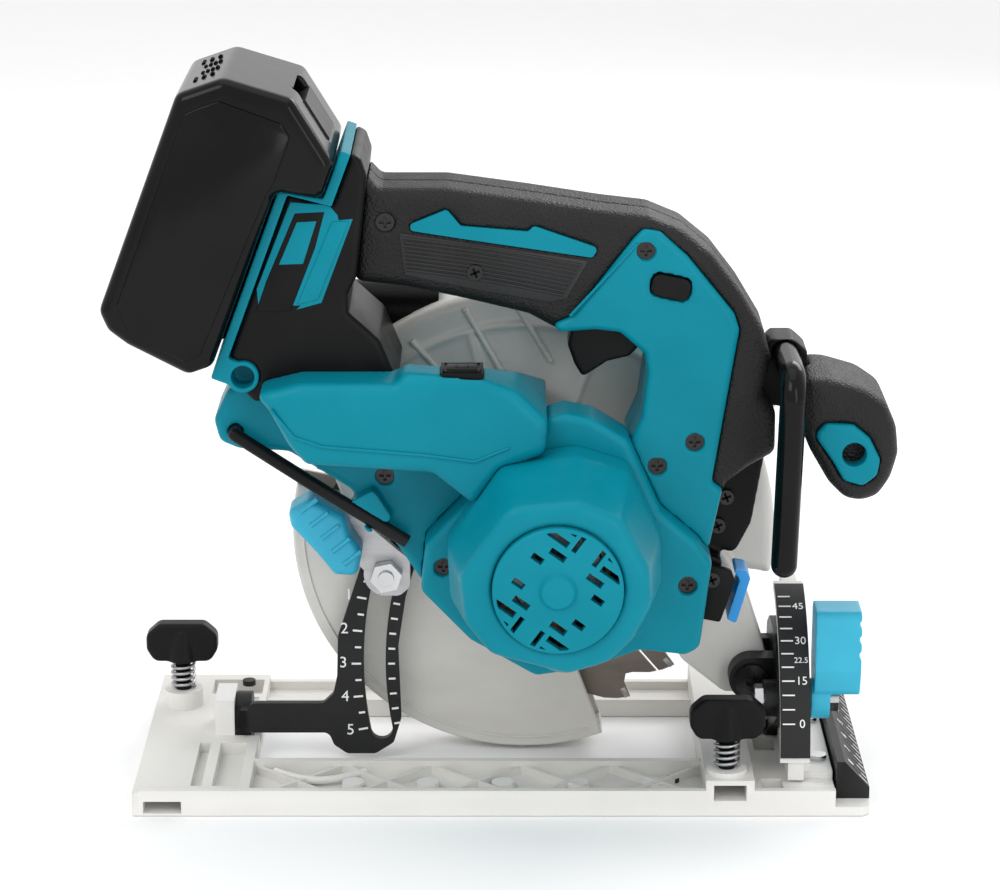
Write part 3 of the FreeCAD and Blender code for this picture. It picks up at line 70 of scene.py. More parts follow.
# ---- camera, floor and light --------------------------------------------
LENS_MM, SENSOR_MM = 121.7, 36
CAMERA_PLACE = (-0.09506, -1.24023, 0.48076)
LOOK_DOWN_DEG = 16.2
WORLD_STRENGTH = 0.92
LIT_MIDDLE = (-0.09, -0.02, 0.12)
FLOOR_HALF, FLOOR_GAP = 6, 0.0002


def make_camera():
    """Long lens, level roll, looking along +Y and a little down."""
    data = bpy.data.cameras.new("camera")
    data.lens = LENS_MM
    data.sensor_width = SENSOR_MM
    camera = bpy.data.objects.new("camera", data)
    camera.location = CAMERA_PLACE
    camera.rotation_euler = (math.radians(90 - LOOK_DOWN_DEG), 0, 0)
    COLLECTION.objects.link(camera)
    bpy.context.scene.camera = camera


def area_light(name, place, size, power):
    """Soft rectangular light that faces the middle of the object."""
    data = bpy.data.lights.new(name, "AREA")
    data.shape = "RECTANGLE"
    data.size, data.size_y = size
    data.energy = power
    light = bpy.data.objects.new(name, data)
    light.location = place
    aim = Vector(LIT_MIDDLE) - Vector(place)
    light.rotation_euler = aim.to_track_quat("-Z", "Y").to_euler()
    COLLECTION.objects.link(light)


def make_studio():
    """Pale even surround, four soft lights and a plain floor."""
    world = bpy.data.worlds.new("studio")
    world.use_nodes = True
    world.node_tree.nodes["Background"].inputs["Color"].default_value = (1, 1, 1, 1)
    world.node_tree.nodes["Background"].inputs["Strength"].default_value = WORLD_STRENGTH
    bpy.context.scene.world = world
    bpy.context.scene.view_settings.view_transform = "Standard"
    area_light("key", (-0.75, -1.0, 1.15), (0.7, 0.7), 5)
    area_light("front_strip", (0.55, -1.3, 0.45), (0.25, 1.0), 2.5)
    area_light("rim", (0.5, 0.9, 0.8), (0.8, 0.5), 5)
    area_light("top", (-0.1, -0.1, 1.4), (1.0, 1.0), 2.5)
    mesh = bpy.data.meshes.new("floor")
    far = FLOOR_HALF
    mesh.from_pydata([(-far, -far, 0), (far, -far, 0), (far, far, 0), (-far, far, 0)], [],
                     [(0, 1, 2, 3)])
    floor = bpy.data.objects.new("floor", mesh)
    floor.location.z = CAD_BOX[0][2] - FLOOR_GAP
    COLLECTION.objects.link(floor)
    floor.data.materials.append(surface("floor_paint", (0.96, 0.96, 0.96), 0.8, grain=(40, 0),
                                        mottle=0.004, spread=0.01, specular=0.1))


# ---- materials ----------------------------------------------------------
MOTTLE_SCALE, SHEEN_SCALE = 35, 140
RELIEF_HEIGHT = 0.0003
COAT_ROUGH = 0.12
ROUGH_LEAST = 0.03
TONE_STOPS = (0.3, 0.7)
WEAR_STOPS = (0.53, 0.62)


def surface(name, colour, rough, metal=0.0, grain=(900, 0.25), mottle=0.06, coat=0.0,
            spread=0.08, wear=None, edge=0.0, stretch=(1, 1, 1), cells=False, specular=0.5):
    """Principled surface: mottled colour, uneven gloss, fine relief and optional worn edges."""
    mat = bpy.data.materials.new(name)
    mat.use_nodes = True
    tree = mat.node_tree
    nodes, link = tree.nodes, tree.links.new
    shader = nodes["Principled BSDF"]
    shader.inputs["Metallic"].default_value = metal
    shader.inputs["Coat Weight"].default_value = coat
    shader.inputs["Coat Roughness"].default_value = COAT_ROUGH
    shader.inputs["Specular IOR Level"].default_value = specular
    place = nodes.new("ShaderNodeTexCoord")
    mapping = nodes.new("ShaderNodeMapping")
    mapping.inputs["Scale"].default_value = stretch
    link(place.outputs["Object"], mapping.inputs["Vector"])
    clouds = nodes.new("ShaderNodeTexNoise")
    clouds.inputs["Scale"].default_value = MOTTLE_SCALE
    clouds.inputs["Detail"].default_value = 5
    link(mapping.outputs["Vector"], clouds.inputs["Vector"])
    tones = nodes.new("ShaderNodeValToRGB")
    low = [channel * (1 - mottle) for channel in colour]
    high = [min(1, channel * (1 + mottle) + 0.002) for channel in colour]
    for stop, place_on, tone in zip(tones.color_ramp.elements, TONE_STOPS, (low, high)):
        stop.position = place_on
        stop.color = (*tone, 1)
    link(clouds.outputs["Fac"], tones.inputs["Fac"])
    painted = tones.outputs["Color"]
    if wear:
        shape = nodes.new("ShaderNodeNewGeometry")
        sharp = nodes.new("ShaderNodeValToRGB")
        for stop, place_on in zip(sharp.color_ramp.elements, WEAR_STOPS):
            stop.position = place_on
        link(shape.outputs["Pointiness"], sharp.inputs["Fac"])
        worn = nodes.new("ShaderNodeMix")
        worn.data_type = "RGBA"
        link(sharp.outputs["Color"], worn.inputs["Factor"])
        link(painted, worn.inputs["A"])
        worn.inputs["B"].default_value = (*wear, 1)
        painted = worn.outputs["Result"]
    link(painted, shader.inputs["Base Color"])
    sheen = nodes.new("ShaderNodeTexNoise")
    sheen.inputs["Scale"].default_value = SHEEN_SCALE
    sheen.inputs["Detail"].default_value = 3
    link(mapping.outputs["Vector"], sheen.inputs["Vector"])
    band = nodes.new("ShaderNodeMapRange")
    band.inputs["To Min"].default_value = max(ROUGH_LEAST, rough - spread)
    band.inputs["To Max"].default_value = min(1, rough + spread)
    link(sheen.outputs["Fac"], band.inputs["Value"])
    link(band.outputs["Result"], shader.inputs["Roughness"])
    if cells:
        relief = nodes.new("ShaderNodeTexVoronoi")
        height = relief.outputs["Distance"]
    else:
        relief = nodes.new("ShaderNodeTexNoise")
        relief.inputs["Detail"].default_value = 2
        height = relief.outputs["Fac"]
    relief.inputs["Scale"].default_value = grain[0]
    link(mapping.outputs["Vector"], relief.inputs["Vector"])
    bump = nodes.new("ShaderNodeBump")
    bump.inputs["Strength"].default_value = grain[1]
    bump.inputs["Distance"].default_value = RELIEF_HEIGHT
    link(height, bump.inputs["Height"])
    if edge:
        soft = nodes.new("ShaderNodeBevel")
        soft.samples = 4
        soft.inputs["Radius"].default_value = edge
        link(soft.outputs["Normal"], bump.inputs["Normal"])
    link(bump.outputs["Normal"], shader.inputs["Normal"])
    return mat


TEAL = (0.0, 0.215, 0.29)
MATERIALS = {
    "cast_base": surface("cast_base", (0.74, 0.725, 0.69), 0.5, grain=(1500, 0.35), mottle=0.04,
                         edge=0.0005, wear=(0.8, 0.79, 0.77), specular=0.4),
    "dark_plate": surface("dark_plate", (0.004, 0.004, 0.0042), 0.4, grain=(1800, 0.3),
                          mottle=0.25, edge=0.0003, wear=(0.025, 0.025, 0.026), specular=0.15),
    "bright_steel": surface("bright_steel", (0.6, 0.6, 0.61), 0.2, metal=1, grain=(700, 0.08),
                            mottle=0.12, edge=0.0003),
    "machined_steel": surface("machined_steel", (0.45, 0.45, 0.46), 0.3, metal=1,
                              grain=(1200, 0.2), mottle=0.1, edge=0.0003, stretch=(1, 1, 8)),
    "case_grey": surface("case_grey", (0.70, 0.69, 0.65), 0.44, metal=0.1, grain=(1300, 0.3),
                         mottle=0.05, edge=0.0005, wear=(0.68, 0.67, 0.64)),
    "guard_grey": surface("guard_grey", (0.64, 0.625, 0.59), 0.4, metal=0.15, grain=(900, 0.15),
                          mottle=0.04, edge=0.0004, stretch=(1, 1, 3)),
    "blade_steel": surface("blade_steel", (0.2, 0.17, 0.15), 0.34, metal=0.9,
                           grain=(1600, 0.25), mottle=0.14, stretch=(1, 1, 5)),
    "teal_shell": surface("teal_shell", TEAL, 0.34, grain=(2200, 0.12), mottle=0.06,
                          specular=0.12),
    "black_rubber": surface("black_rubber", (0.009, 0.0088, 0.0085), 0.46, grain=(1100, 1.0),
                            mottle=0.25, cells=True, specular=0.25),
    "black_plastic": surface("black_plastic", (0.004, 0.004, 0.0043), 0.36, grain=(1700, 0.35),
                             mottle=0.2, edge=0.0003, specular=0.14),
    "gloss_black": surface("gloss_black", (0.002, 0.002, 0.0021), 0.15, grain=(1400, 0.05),
                           mottle=0.25, spread=0.05, specular=0.18),
    "blue_lever": surface("blue_lever", (0.03, 0.40, 0.58), 0.38, grain=(1800, 0.2), mottle=0.06,
                          specular=0.35),
    "winding": surface("winding", (0.5, 0.2, 0.08), 0.35, metal=0.8, grain=(500, 0.6)),
    "board_green": surface("board_green", (0.02, 0.06, 0.05), 0.5),
    "cell_wrap": surface("cell_wrap", (0.03, 0.16, 0.38), 0.3, coat=0.3),
}
WHITE_PRINT = surface("white_print", (0.85, 0.85, 0.83), 0.5, grain=(1500, 0.2), mottle=0.04)
CARBIDE = surface("carbide", (0.42, 0.41, 0.4), 0.3, metal=0.9, grain=(1500, 0.2))
DARK_PANEL = surface("dark_panel", (0.016, 0.016, 0.017), 0.42, grain=(1600, 0.4), mottle=0.2,
                     specular=0.35)
# Near-black matte: painted shade for the screw heads' cross recesses, and also the battery's own dark lamp and
# seat marks.
RECESS_SHADE_AND_MARK_BLACK = surface("recess_shade_and_mark_black", (0.003, 0.003, 0.003), 0.8, grain=(600, 0.2), mottle=0.3,
                    specular=0.1)
BLACK_OXIDE = surface("black_oxide", (0.035, 0.034, 0.033), 0.28, metal=0.85, grain=(1100, 0.2),
                      mottle=0.2, edge=0.0003)
SKY = surface("sky_strip", (0.0, 0.26, 0.66), 0.35, grain=(1800, 0.2), mottle=0.06)
FINISH_OF = {"housing_screws": BLACK_OXIDE, "depth_pivot_pin": BLACK_OXIDE,
             "battery_latch": DARK_PANEL, "shaft_lock": SKY}


def dress_frame():
    """Puts a procedural material on every CAD node."""
    for node, obj in frame["nodes"].items():
        obj.data.materials.clear()
        obj.data.materials.append(FINISH_OF.get(node, MATERIALS[SLOT_OF[node]]))


# ---- mesh helpers -------------------------------------------------------
def piece(name, mesh, body, mat, smooth_deg=40):
    """New visible piece that rides on a body of the frame."""
    obj = bpy.data.objects.new(name, mesh)
    COLLECTION.objects.link(obj)
    mesh.materials.clear()
    mesh.materials.append(mat)
    mesh.shade_smooth()
    mesh.set_sharp_from_angle(angle=math.radians(smooth_deg))
    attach(obj, body)
    return obj


def evaluated(obj):
    """Mesh of an object with its modifiers applied."""
    graph = bpy.context.evaluated_depsgraph_get()
    return bpy.data.meshes.new_from_object(obj.evaluated_get(graph))


def bare_copy(node):
    """Welded copy of a CAD node's mesh, with no split normals."""
    form = bmesh.new()
    form.from_mesh(frame["nodes"][node].data)
    bmesh.ops.remove_doubles(form, verts=form.verts, dist=2e-6)
    mesh = bpy.data.meshes.new(node + "_form")
    form.to_mesh(mesh)
    form.free()
    return mesh


def moulded(node, voxel, rounds):
    """Visible moulding of a CAD node: the same form with its edges flowed round."""
    obj = bpy.data.objects.new("work", bare_copy(node))
    COLLECTION.objects.link(obj)
    remesh = obj.modifiers.new("remesh", "REMESH")
    remesh.mode = "VOXEL"
    remesh.voxel_size = voxel * MM
    flow = obj.modifiers.new("flow", "SMOOTH")
    flow.factor = 0.5
    flow.iterations = rounds
    mesh = evaluated(obj)
    bpy.data.objects.remove(obj)
    result = piece(node + "_moulding", mesh, BODY_OF[node],
                   FINISH_OF.get(node, MATERIALS[SLOT_OF[node]]))
    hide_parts(node)


def tube_mesh(points, radius, name, sides=4, closed=False):
    """Round bar along the points, all in millimetres."""
    curve = bpy.data.curves.new(name, "CURVE")
    curve.dimensions = "3D"
    spline = curve.splines.new("POLY")
    spline.points.add(len(points) - 1)
    for point, place in zip(spline.points, points):
        point.co = (*[c * MM for c in place], 1)
    spline.use_cyclic_u = closed
    curve.bevel_depth = radius * MM
    curve.bevel_resolution = sides
    curve.use_fill_caps = True
    holder = bpy.data.objects.new(name, curve)
    COLLECTION.objects.link(holder)
    mesh = evaluated(holder)
    bpy.data.objects.remove(holder)
    return mesh


def slab_mesh(outline, y0, y1, name, bevel=0.4):
    """Plate with (x, z) outline between two Y planes, its edges bevelled."""
    form = bmesh.new()
    corners = [form.verts.new((x * MM, y0 * MM, z * MM)) for x, z in outline]
    face = form.faces.new(corners)
    grown = bmesh.ops.extrude_face_region(form, geom=[face])
    moved = [item for item in grown["geom"] if isinstance(item, bmesh.types.BMVert)]
    bmesh.ops.translate(form, verts=moved, vec=(0, (y1 - y0) * MM, 0))
    bmesh.ops.recalc_face_normals(form, faces=form.faces)
    if bevel:
        bmesh.ops.bevel(form, geom=form.edges[:], offset=bevel * MM, segments=2,
                        affect="EDGES", profile=0.5, clamp_overlap=True)
    mesh = bpy.data.meshes.new(name)
    form.to_mesh(mesh)
    form.free()
    return mesh


def block_mesh(size, name, bevel=0.15):
    """Block about its own centre, its edges bevelled."""
    form = bmesh.new()
    bmesh.ops.create_cube(form, size=1)
    bmesh.ops.scale(form, vec=[s * MM for s in size], verts=form.verts)
    if bevel:
        bmesh.ops.bevel(form, geom=form.edges[:], offset=bevel * MM, segments=2,
                        affect="EDGES", profile=0.5, clamp_overlap=True)
    mesh = bpy.data.meshes.new(name)
    form.to_mesh(mesh)
    form.free()
    return mesh


def set_in(meshes_and_places, name, body, mat, smooth_deg=40):
    """Joins meshes, each with its own placement matrix, into one piece."""
    form = bmesh.new()
    for mesh, place in meshes_and_places:
        copy = mesh.copy()
        copy.transform(place)
        form.from_mesh(copy)
        bpy.data.meshes.remove(copy)
    mesh = bpy.data.meshes.new(name)
    form.to_mesh(mesh)
    form.free()
    return piece(name, mesh, body, mat, smooth_deg)


def text_mesh(words, size, depth=0.12):
    """Raised figures about their own centre."""
    curve = bpy.data.curves.new("figure", "FONT")
    curve.body = words
    curve.size = size * MM
    curve.extrude = depth * MM
    curve.align_x = "CENTER"
    curve.align_y = "CENTER"
    holder = bpy.data.objects.new("figure", curve)
    COLLECTION.objects.link(holder)
    mesh = evaluated(holder)
    bpy.data.objects.remove(holder)
    return mesh


def placed(origin, across, up):
    """Matrix that puts local X along across and local Y along up."""
    x_axis = Vector(across).normalized()
    y_axis = Vector(up).normalized()
    z_axis = x_axis.cross(y_axis)
    matrix = Matrix((x_axis, y_axis, z_axis)).transposed().to_4x4()
    matrix.translation = Vector(origin) * MM
    return matrix


def polar(x, z, radius, degrees):
    """Point (x, z) at a radius and an angle from +X towards +Z about a centre."""
    angle = math.radians(degrees)
    return x + radius * math.cos(angle), z + radius * math.sin(angle)


# ---- mouldings ----------------------------------------------------------
FINE_VOXEL, SHELL_VOXEL = 0.45, 0.8


def make_mouldings():
    """Softened copies of the moulded nodes, each with its rounds of smoothing."""
    fine = {"depth_lever_knob": 5, "bevel_lever": 3, "front_wing_screw": 2, "rear_wing_screw": 2,
            "trigger": 3, "lock_off_button": 3, "shaft_lock": 1, "front_grip_cap": 8,
            "mount_trim": 4}
    for node, rounds in fine.items():
        moulded(node, FINE_VOXEL, rounds)
    shells = {"grip_half_near": 5, "grip_half_far": 5, "front_grip": 26, "motor_flange": 6,
              "motor_housing": 28, "duct_housing": 10, "rear_housing": 4, "pillar_cover_near": 3,
              "pillar_cover_far": 3, "battery_mount": 3, "hook_bracket": 4, "front_cover": 3,
              "blade_case": 3}
    for node, rounds in shells.items():
        moulded(node, SHELL_VOXEL, rounds)


# ---- joint places, in millimetres ---------------------------------------
TILT_Y, TILT_Z = [JOINTS["bevel_tilt"]["pos_m"][i] / MM for i in (1, 2)]
PIVOT_X, PIVOT_Z = [JOINTS["depth_swing"]["pos_m"][i] / MM for i in (0, 2)]
BLADE_X, BLADE_Z = [JOINTS["blade_spin"]["pos_m"][i] / MM for i in (0, 2)]
LOCK_X, LOCK_Z = [JOINTS["depth_lever_turn"]["pos_m"][i] / MM for i in (0, 2)]


# ---- base ---------------------------------------------------------------
def make_clamp_springs():
    """Wound wire in place of the rings under both clamp screws."""
    bottom, top = [corner.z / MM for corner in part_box("clamp_springs")]
    radius, wire, turns, steps = 4.4, 0.65, 4.5, 20
    meshes = []
    for joint in ("front_wing_turn", "rear_wing_turn"):
        x, y = [JOINTS[joint]["pos_m"][i] / MM for i in (0, 1)]
        points = []
        for i in range(int(turns * steps) + 1):
            turn = 2 * math.pi * i / steps
            rise = bottom + 0.7 + (top - bottom - 1.2) * i / (turns * steps)
            points.append((x + radius * math.cos(turn), y + radius * math.sin(turn), rise))
        meshes.append((tube_mesh(points, wire, "coil"), IN_PLACE))
    coils = set_in(meshes, "clamp_spring_coils", "base", MATERIALS["machined_steel"])
    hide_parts("clamp_springs")


BEVEL_MARK_R = 61.3
BEVEL_ZERO_DEG, BEVEL_STEP_DEG, BEVEL_TICKS = 18, 5, 11
BEVEL_TICK_X, BEVEL_FIGURE_X = 12.0, 17.0
PRINT_THICK = 0.3


def bevel_spot(x, degrees):
    """Placement on the curved scale plate, upright along the curve."""
    turn = math.radians(BEVEL_ZERO_DEG + degrees)
    y, z = TILT_Y - BEVEL_MARK_R * math.cos(turn), TILT_Z + BEVEL_MARK_R * math.sin(turn)
    return placed((x, y, z), (1, 0, 0), (0, math.sin(turn), math.cos(turn)))


def make_bevel_marks():
    """Ticks every 5 degrees and figures on the curved scale plate."""
    marks = []
    for i in range(BEVEL_TICKS):
        marks.append((block_mesh((4.6, 0.5, PRINT_THICK), "tick", 0),
                      bevel_spot(BEVEL_TICK_X, BEVEL_STEP_DEG * i)))
    for value in (0, 15, 22.5, 30, 45):
        words = "{:g}".format(value)
        size = 3.1 if len(words) > 2 else 4.4
        marks.append((text_mesh(words, size), bevel_spot(BEVEL_FIGURE_X, value)))
    set_in(marks, "bevel_scale_marks", "base", WHITE_PRINT)


def make_ruler_marks():
    """Figures and ticks on the sloping face of the front ruler."""
    slope_low, slope_high = Vector((42.3, 0, 8)), Vector((33, 0, 18))
    tick_count, tick_pitch, tick_start = 21, 5, -66.5
    figure_pitch, figure_start, figure_rise = 14, -61.5, 9.4
    least, most = 2, 8
    up = (slope_high - slope_low).normalized()
    marks = []
    for i in range(tick_count):
        y = tick_start + tick_pitch * i
        long = 4.6 if i % 2 == 0 else 2.8
        spot = slope_low + up * (0.8 + long / 2)
        marks.append((block_mesh((0.5, long, PRINT_THICK), "tick", 0),
                      placed((spot.x + 0.02, y, spot.z + 0.02), (0, 1, 0), up)))
    for value in range(least, most + 1):
        spot = slope_low + up * figure_rise
        y = figure_start + figure_pitch * (most - value)
        marks.append((text_mesh(str(value), 4.4),
                      placed((spot.x + 0.1, y, spot.z + 0.1), (0, 1, 0), up)))
    set_in(marks, "ruler_marks", "base", WHITE_PRINT)


def make_base_trim():
    """Dark stop screws, and cast pads and a lip along the near strip."""
    screws = []
    for x, y in ((-176, -52), (-30, -52), (-196, 40), (22, 36)):
        top = 4.2 if -185 < x < -20 else 9.4
        points = [(x, y, top - 1), (x, y, top + 1.1)]
        screws.append((tube_mesh(points, 2.6, "stop", 6), IN_PLACE))
    set_in(screws, "stop_screws", "base", MATERIALS["dark_plate"])
    pads = []
    for x in (-150, -122, -94, -66, -38):
        points = [(x, -59.5, 3.2), (x, -59.5, 6.6)]
        pads.append((tube_mesh(points, 4.2, "pad", 8), IN_PLACE))
    steps = 12
    lip = [(-180 + 34 * i / steps, -48 - 9 * math.sin(math.pi * i / steps), 6)
           for i in range(steps + 1)]
    pads.append((tube_mesh(lip, 1.5, "lip", 5), IN_PLACE))
    set_in(pads, "casting_pads", "base", MATERIALS["cast_base"])


# ---- depth guide --------------------------------------------------------
def make_depth_marks():
    """Centimetre figures left of the slot and ticks on both of its sides."""
    figure_deg, figure_count = 5.1, 5
    slot_edge, figure_reach = 5.2, 12.0
    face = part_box("depth_guide")[0].y / MM - 0.06
    slot_r = math.hypot(LOCK_X - PIVOT_X, LOCK_Z - PIVOT_Z)
    start = math.degrees(math.atan2(LOCK_Z - PIVOT_Z, LOCK_X - PIVOT_X))
    marks = []
    for half in range(1, 2 * figure_count + 1):
        angle = start + figure_deg * half / 2
        turn = math.radians(angle)
        outward = (math.cos(turn), 0, math.sin(turn))
        upward = (math.sin(turn), 0, -math.cos(turn))
        whole = half % 2 == 0
        long = 3.6 if whole else 2.4
        for side, reach in ((1, long), (-1, 2.6)):
            x, z = polar(PIVOT_X, PIVOT_Z, slot_r + side * (slot_edge + reach / 2),
                         angle)
            marks.append((block_mesh((reach, 0.75, PRINT_THICK), "tick", 0),
                          placed((x, face, z), outward, upward)))
        if whole:
            x, z = polar(PIVOT_X, PIVOT_Z, slot_r + figure_reach, angle)
            marks.append((text_mesh(str(half // 2), 6.2),
                          placed((x, face, z + 0.4), (1, 0, 0), (0, 0, 1))))
    set_in(marks, "depth_scale_marks", "tilt_frame", WHITE_PRINT)


# ---- blade --------------------------------------------------------------
def make_blade_tips():
    """Brazed carbide tips, a little wider than the plate, and a ground ring."""
    teeth, tip_r, lag_deg = 24, 80.1, 0.7
    ring_r, ring_points, ring_out, ring_wire = 62, 90, 0.72, 0.16
    tips = []
    for i in range(teeth):
        angle = -360 * i / teeth
        x, z = polar(BLADE_X, BLADE_Z, tip_r, angle - lag_deg)
        turn = math.radians(angle)
        outward = (math.cos(turn), 0, math.sin(turn))
        tips.append((block_mesh((4.2, 2.0, 2.0), "tip", 0.2),
                     placed((x, 0, z), outward, (0, 1, 0))))
    set_in(tips, "carbide_tips", "blade_set", CARBIDE)
    for side, name in ((-1, "near"), (1, "far")):
        ring = [polar(BLADE_X, BLADE_Z, ring_r, 360 * i / ring_points)
                for i in range(ring_points)]
        points = [(x, side * ring_out, z) for x, z in ring]
        mesh = tube_mesh(points, ring_wire, "score", 2, closed=True)
        piece("blade_score_" + name, mesh, "blade_set", MATERIALS["machined_steel"],
              60)


def make_guard_details():
    """Pressed rim bead and hub ring on the swinging guard."""
    steps, face_y, bead_r = 40, -10.55, 0.55
    beads = []
    for radius, start, stop in ((84.5, 171, 287), (40, 172, 286)):
        arc = [polar(BLADE_X, BLADE_Z, radius, start + (stop - start) * i / steps)
               for i in range(steps + 1)]
        beads.append((tube_mesh([(x, face_y, z) for x, z in arc], bead_r, "bead", 4),
                      IN_PLACE))
    set_in(beads, "guard_beads", "guard", MATERIALS["guard_grey"], 60)


def make_case_ribs():
    """Cast ribs on the case behind the handle, as diagonal webs."""
    face_y, rib_r = -17.4, 1.1
    ribs = []
    for start, stop in (((-128, 166), (-106, 142)), ((-108, 178), (-92, 150)),
                        ((-90, 181), (-76, 158)), ((-62, 178), (-62, 160))):
        points = [(x, face_y, z) for x, z in (start, stop)]
        ribs.append((tube_mesh(points, rib_r, "web", 4), IN_PLACE))
    set_in(ribs, "case_webs", "saw_body", MATERIALS["case_grey"], 60)


# ---- handle and housings ------------------------------------------------
def lerp(a, b, t):
    """Point a share t of the way from a to b."""
    return tuple(p + (q - p) * t for p, q in zip(a, b))


def make_grip_panel():
    """Dark ribbed panel let into the near side of the handle."""
    outline = [(-131, 217.5), (-109, 214.2), (-63.5, 207.3), (-71, 193.4), (-77, 192),
               (-103, 196.5), (-129, 202)]
    piece("grip_side_panel", slab_mesh(outline, -63.35, -61, "panel", 0.3), "saw_body",
          DARK_PANEL)
    ridges = []
    count, steps, face_y, bow_rise, ridge_r = 9, 6, -63.4, 0.8, 0.5
    for i in range(count):
        t = (i + 0.7) / (count + 0.4)
        left, right = lerp((-130, 216.6), (-128.4, 203), t), lerp((-65, 206.6), (-73, 193.6), t)
        bow = [lerp(left, right, s / steps) for s in range(steps + 1)]
        points = [(x, face_y, z + bow_rise * math.sin(math.pi * s / steps))
                  for s, (x, z) in enumerate(bow)]
        ridges.append((tube_mesh(points, ridge_r, "ridge", 3), IN_PLACE))
    set_in(ridges, "grip_ridges", "saw_body", DARK_PANEL, 60)


def make_mount_stripes():
    """Teal field under the seam, dark frame with a teal tile, and the long slanted strip."""
    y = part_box("battery_mount")[0].y / MM
    shapes = (
        ("mount_field", 0.35, "teal_shell", [(-169, 230.5), (-155.5, 229.5), (-152.5, 226),
                                             (-152, 224), (-147, 224.5), (-158.5, 194),
                                             (-167.5, 191.5), (-166, 193), (-181, 193),
                                             (-181.5, 199)]),
        ("mount_frame", 0.6, "black_plastic", [(-167.5, 226.5), (-157, 227), (-160.5, 214),
                                               (-169.5, 191), (-181.8, 191), (-178, 202)]),
        ("mount_tile", 0.85, "teal_shell", [(-166.8, 223.4), (-159.8, 223.8), (-164.8, 208.3),
                                            (-173.4, 208)]),
        ("mount_strip", 0.9, "teal_shell", [(-154.3, 223.6), (-148.4, 223.8), (-159.8, 195.3),
                                            (-167, 193.6)]),
    )
    for name, proud, slot, outline in shapes:
        piece(name, slab_mesh(outline, y - proud, y + 1, name, 0.25), "saw_body",
              MATERIALS[slot])


def make_mode_button():
    """Push button with two bars and a rim on the mode panel."""
    low, high = [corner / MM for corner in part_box("mode_panel")]
    centre_y, top = (low.y + high.y) / 2, high.z
    middle = (low.x + high.x) / 2

    def at(x, y, z):
        return Matrix.Translation((x * MM, y * MM, z * MM))

    set_in([(block_mesh((11, 7, 1.0), "key", 0.4), at(middle, centre_y, top + 0.3)),
            (block_mesh((0.8, 4, 0.6), "bar", 0.1), at(middle - 2, centre_y, top + 0.8)),
            (block_mesh((0.8, 4, 0.6), "bar", 0.1), at(middle + 2, centre_y, top + 0.8))],
           "mode_key", "saw_body", DARK_PANEL)
    frame_bits = [(block_mesh((13.6, 0.7, 0.8), "rim", 0.15), at(middle, centre_y + s * 5.6, top))
                  for s in (-1, 1)]
    frame_bits += [(block_mesh((0.7, 11.9, 0.8), "rim", 0.15), at(middle + s * 6.6, centre_y, top))
                   for s in (-1, 1)]
    set_in(frame_bits, "mode_rim", "saw_body", MATERIALS["black_plastic"])


def make_shell_details():
    """Raised creases on the duct and on the pillar's edge."""
    creases = {
        "duct_crease": ([(-176, -92.1, 160), (-168, -92.3, 150), (-158, -92.3, 146.5),
                         (-122, -92.3, 143.5), (-104, -92.3, 141), (-92, -92.1, 146)], 0.55),
        "pillar_edge": ([(-46, -65.1, 214), (-70, -65.1, 187.5)], 0.5),
    }
    for name, (points, radius) in creases.items():
        piece(name, tube_mesh(points, radius, name, 4), "saw_body", MATERIALS["teal_shell"],
              60)


def make_nozzle_rim():
    """Ring round the mouth of the hose outlet."""
    rim_r, wire, steps, inset = 11.6, 0.8, 48, 0.6
    low, high = [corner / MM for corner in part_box("dust_nozzle")]
    y, z = (low.y + high.y) / 2, (low.z + high.z) / 2
    turns = [2 * math.pi * i / steps for i in range(steps)]
    points = [(low.x + inset, y + rim_r * math.cos(turn), z + rim_r * math.sin(turn))
              for turn in turns]
    piece("nozzle_rim", tube_mesh(points, wire, "rim", 4, closed=True), "saw_body",
          MATERIALS["case_grey"], 60)


def make_lock_cover():
    """Dark guard plate in front of the shaft lock."""
    low, high = [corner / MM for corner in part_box("shaft_lock")]
    outline = [(low.x + 11, high.z + 3.6), (high.x - 7.5, high.z + 1), (high.x - 5.8, high.z - 3.5),
               (high.x - 11.2, low.z + 1.5), (low.x + 9.5, low.z + 3)]
    piece("shaft_lock_cover", slab_mesh(outline, low.y - 4.5, low.y - 1.4, "cover", 0.8),
          "saw_body", MATERIALS["black_plastic"])


def make_screw_heads():
    """Dark pan heads with cross recesses, each recess shown as a near-black cross of painted shade: three ahead of
    the motor, one in the grip panel.
    """
    head_r, proud, sunk = 2.9, 1.4, 1
    heads, crosses = [], []
    for x, y, z in ((-11.5, -46.2, 114), (-14.5, -46.2, 103), (-17, -58.7, 86),
                    (-104, -62.9, 203)):
        heads.append((tube_mesh([(x, y - proud, z), (x, y + sunk, z)], head_r, "head", 8),
                      IN_PLACE))
        # The crosses sit on the head face as painted shade in place of hollow recesses.
        for size in ((3.6, 0.8, 0.3), (0.8, 3.6, 0.3)):
            crosses.append((block_mesh(size, "cross", 0),
                            placed((x, y - proud - 0.1, z), (1, 0, 0.4), (-0.4, 0, 1))))
    set_in(heads, "screw_heads", "saw_body", BLACK_OXIDE)
    set_in(crosses, "screw_crosses", "saw_body", RECESS_SHADE_AND_MARK_BLACK)


# ---- battery ------------------------------------------------------------
LEAN = Vector(JOINTS["battery_slide"]["axis"])


def pack_point(u, v):
    """Point (x, z) of the leaning pack, u along its slide and v across it."""
    return u * LEAN.x + v * LEAN.z, u * LEAN.z - v * LEAN.x


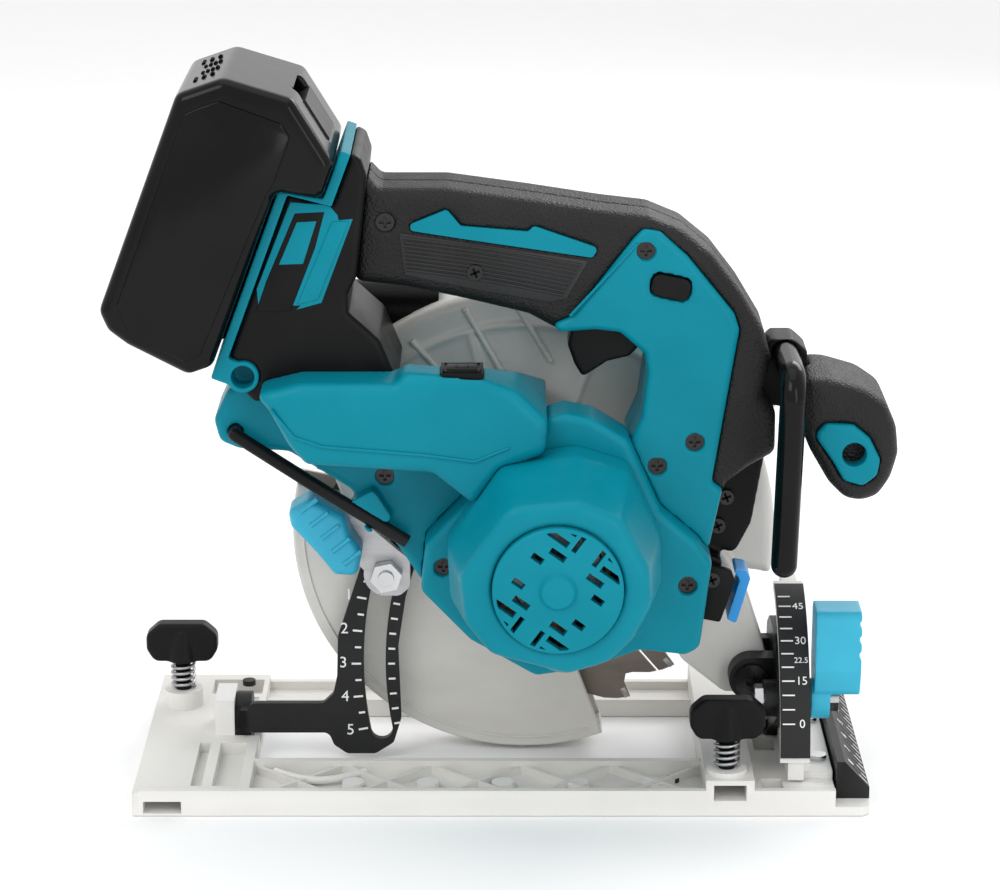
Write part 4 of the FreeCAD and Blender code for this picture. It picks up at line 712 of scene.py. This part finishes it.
def make_battery():
    """Glossy case with raised side panels, and dark lamp and seat marks on its end."""
    moulded("battery_case", SHELL_VOXEL, 7)
    near, far = [corner.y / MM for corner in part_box("battery_case")]
    panel = [(180.5, -279), (184.5, -274), (184.5, -251), (181, -246.6), (163, -246.6),
             (159, -247.6), (96, -250.5), (91.5, -255), (95, -277), (103, -284), (176, -284)]
    outline = [pack_point(u, v) for u, v in panel]
    for y0, y1, name in ((near - 0.7, near + 2, "pack_panel_near"),
                         (far - 2, far + 0.7, "pack_panel_far")):
        piece(name, slab_mesh(outline, y0, y1, name, 0.7), "battery", MATERIALS["gloss_black"])
    low, high = (181.5, -287.4), (191.2, -276.6)
    marks = []
    for i in range(4):
        x, z = pack_point(*lerp(low, high, 0.42 + 0.13 * i))
        for y in (-52, -39):
            marks.append((tube_mesh([(x, y, z), (x, y + 2.6, z)], 0.8, "lamp", 4), IN_PLACE))
    for y in (-62, -26):
        for i in range(3):
            x, z = pack_point(*lerp(low, high, 0.3 + 0.22 * i))
            marks.append((tube_mesh([(x, y - 3 + i, z), (x, y + 3 - i, z)], 0.9, "seat", 4),
                          IN_PLACE))
    set_in(marks, "charge_lamps", "battery", RECESS_SHADE_AND_MARK_BLACK)


def make_lever_details():
    """Flutes on the depth knob."""
    count, face_y, flute_r = 5, -40.0, 0.9
    flutes = []
    for i in range(count):
        x, z = lerp((-171.5, 108.4), (-151.5, 83), (i + 0.5) / count)
        points = [(x, face_y, z), (x + 6.5, face_y, z + 5.2)]
        flutes.append((tube_mesh(points, flute_r, "flute", 4), IN_PLACE))
    set_in(flutes, "depth_knob_flutes", "depth_lever", MATERIALS["blue_lever"], 60)


dress_frame()
make_camera()
make_studio()
make_mouldings()
make_clamp_springs()
make_bevel_marks()
make_ruler_marks()
make_base_trim()
make_depth_marks()
make_blade_tips()
make_guard_details()
make_case_ribs()
make_grip_panel()
make_mount_stripes()
make_mode_button()
make_shell_details()
make_nozzle_rim()
make_screw_heads()
make_lock_cover()
make_battery()
make_lever_details()
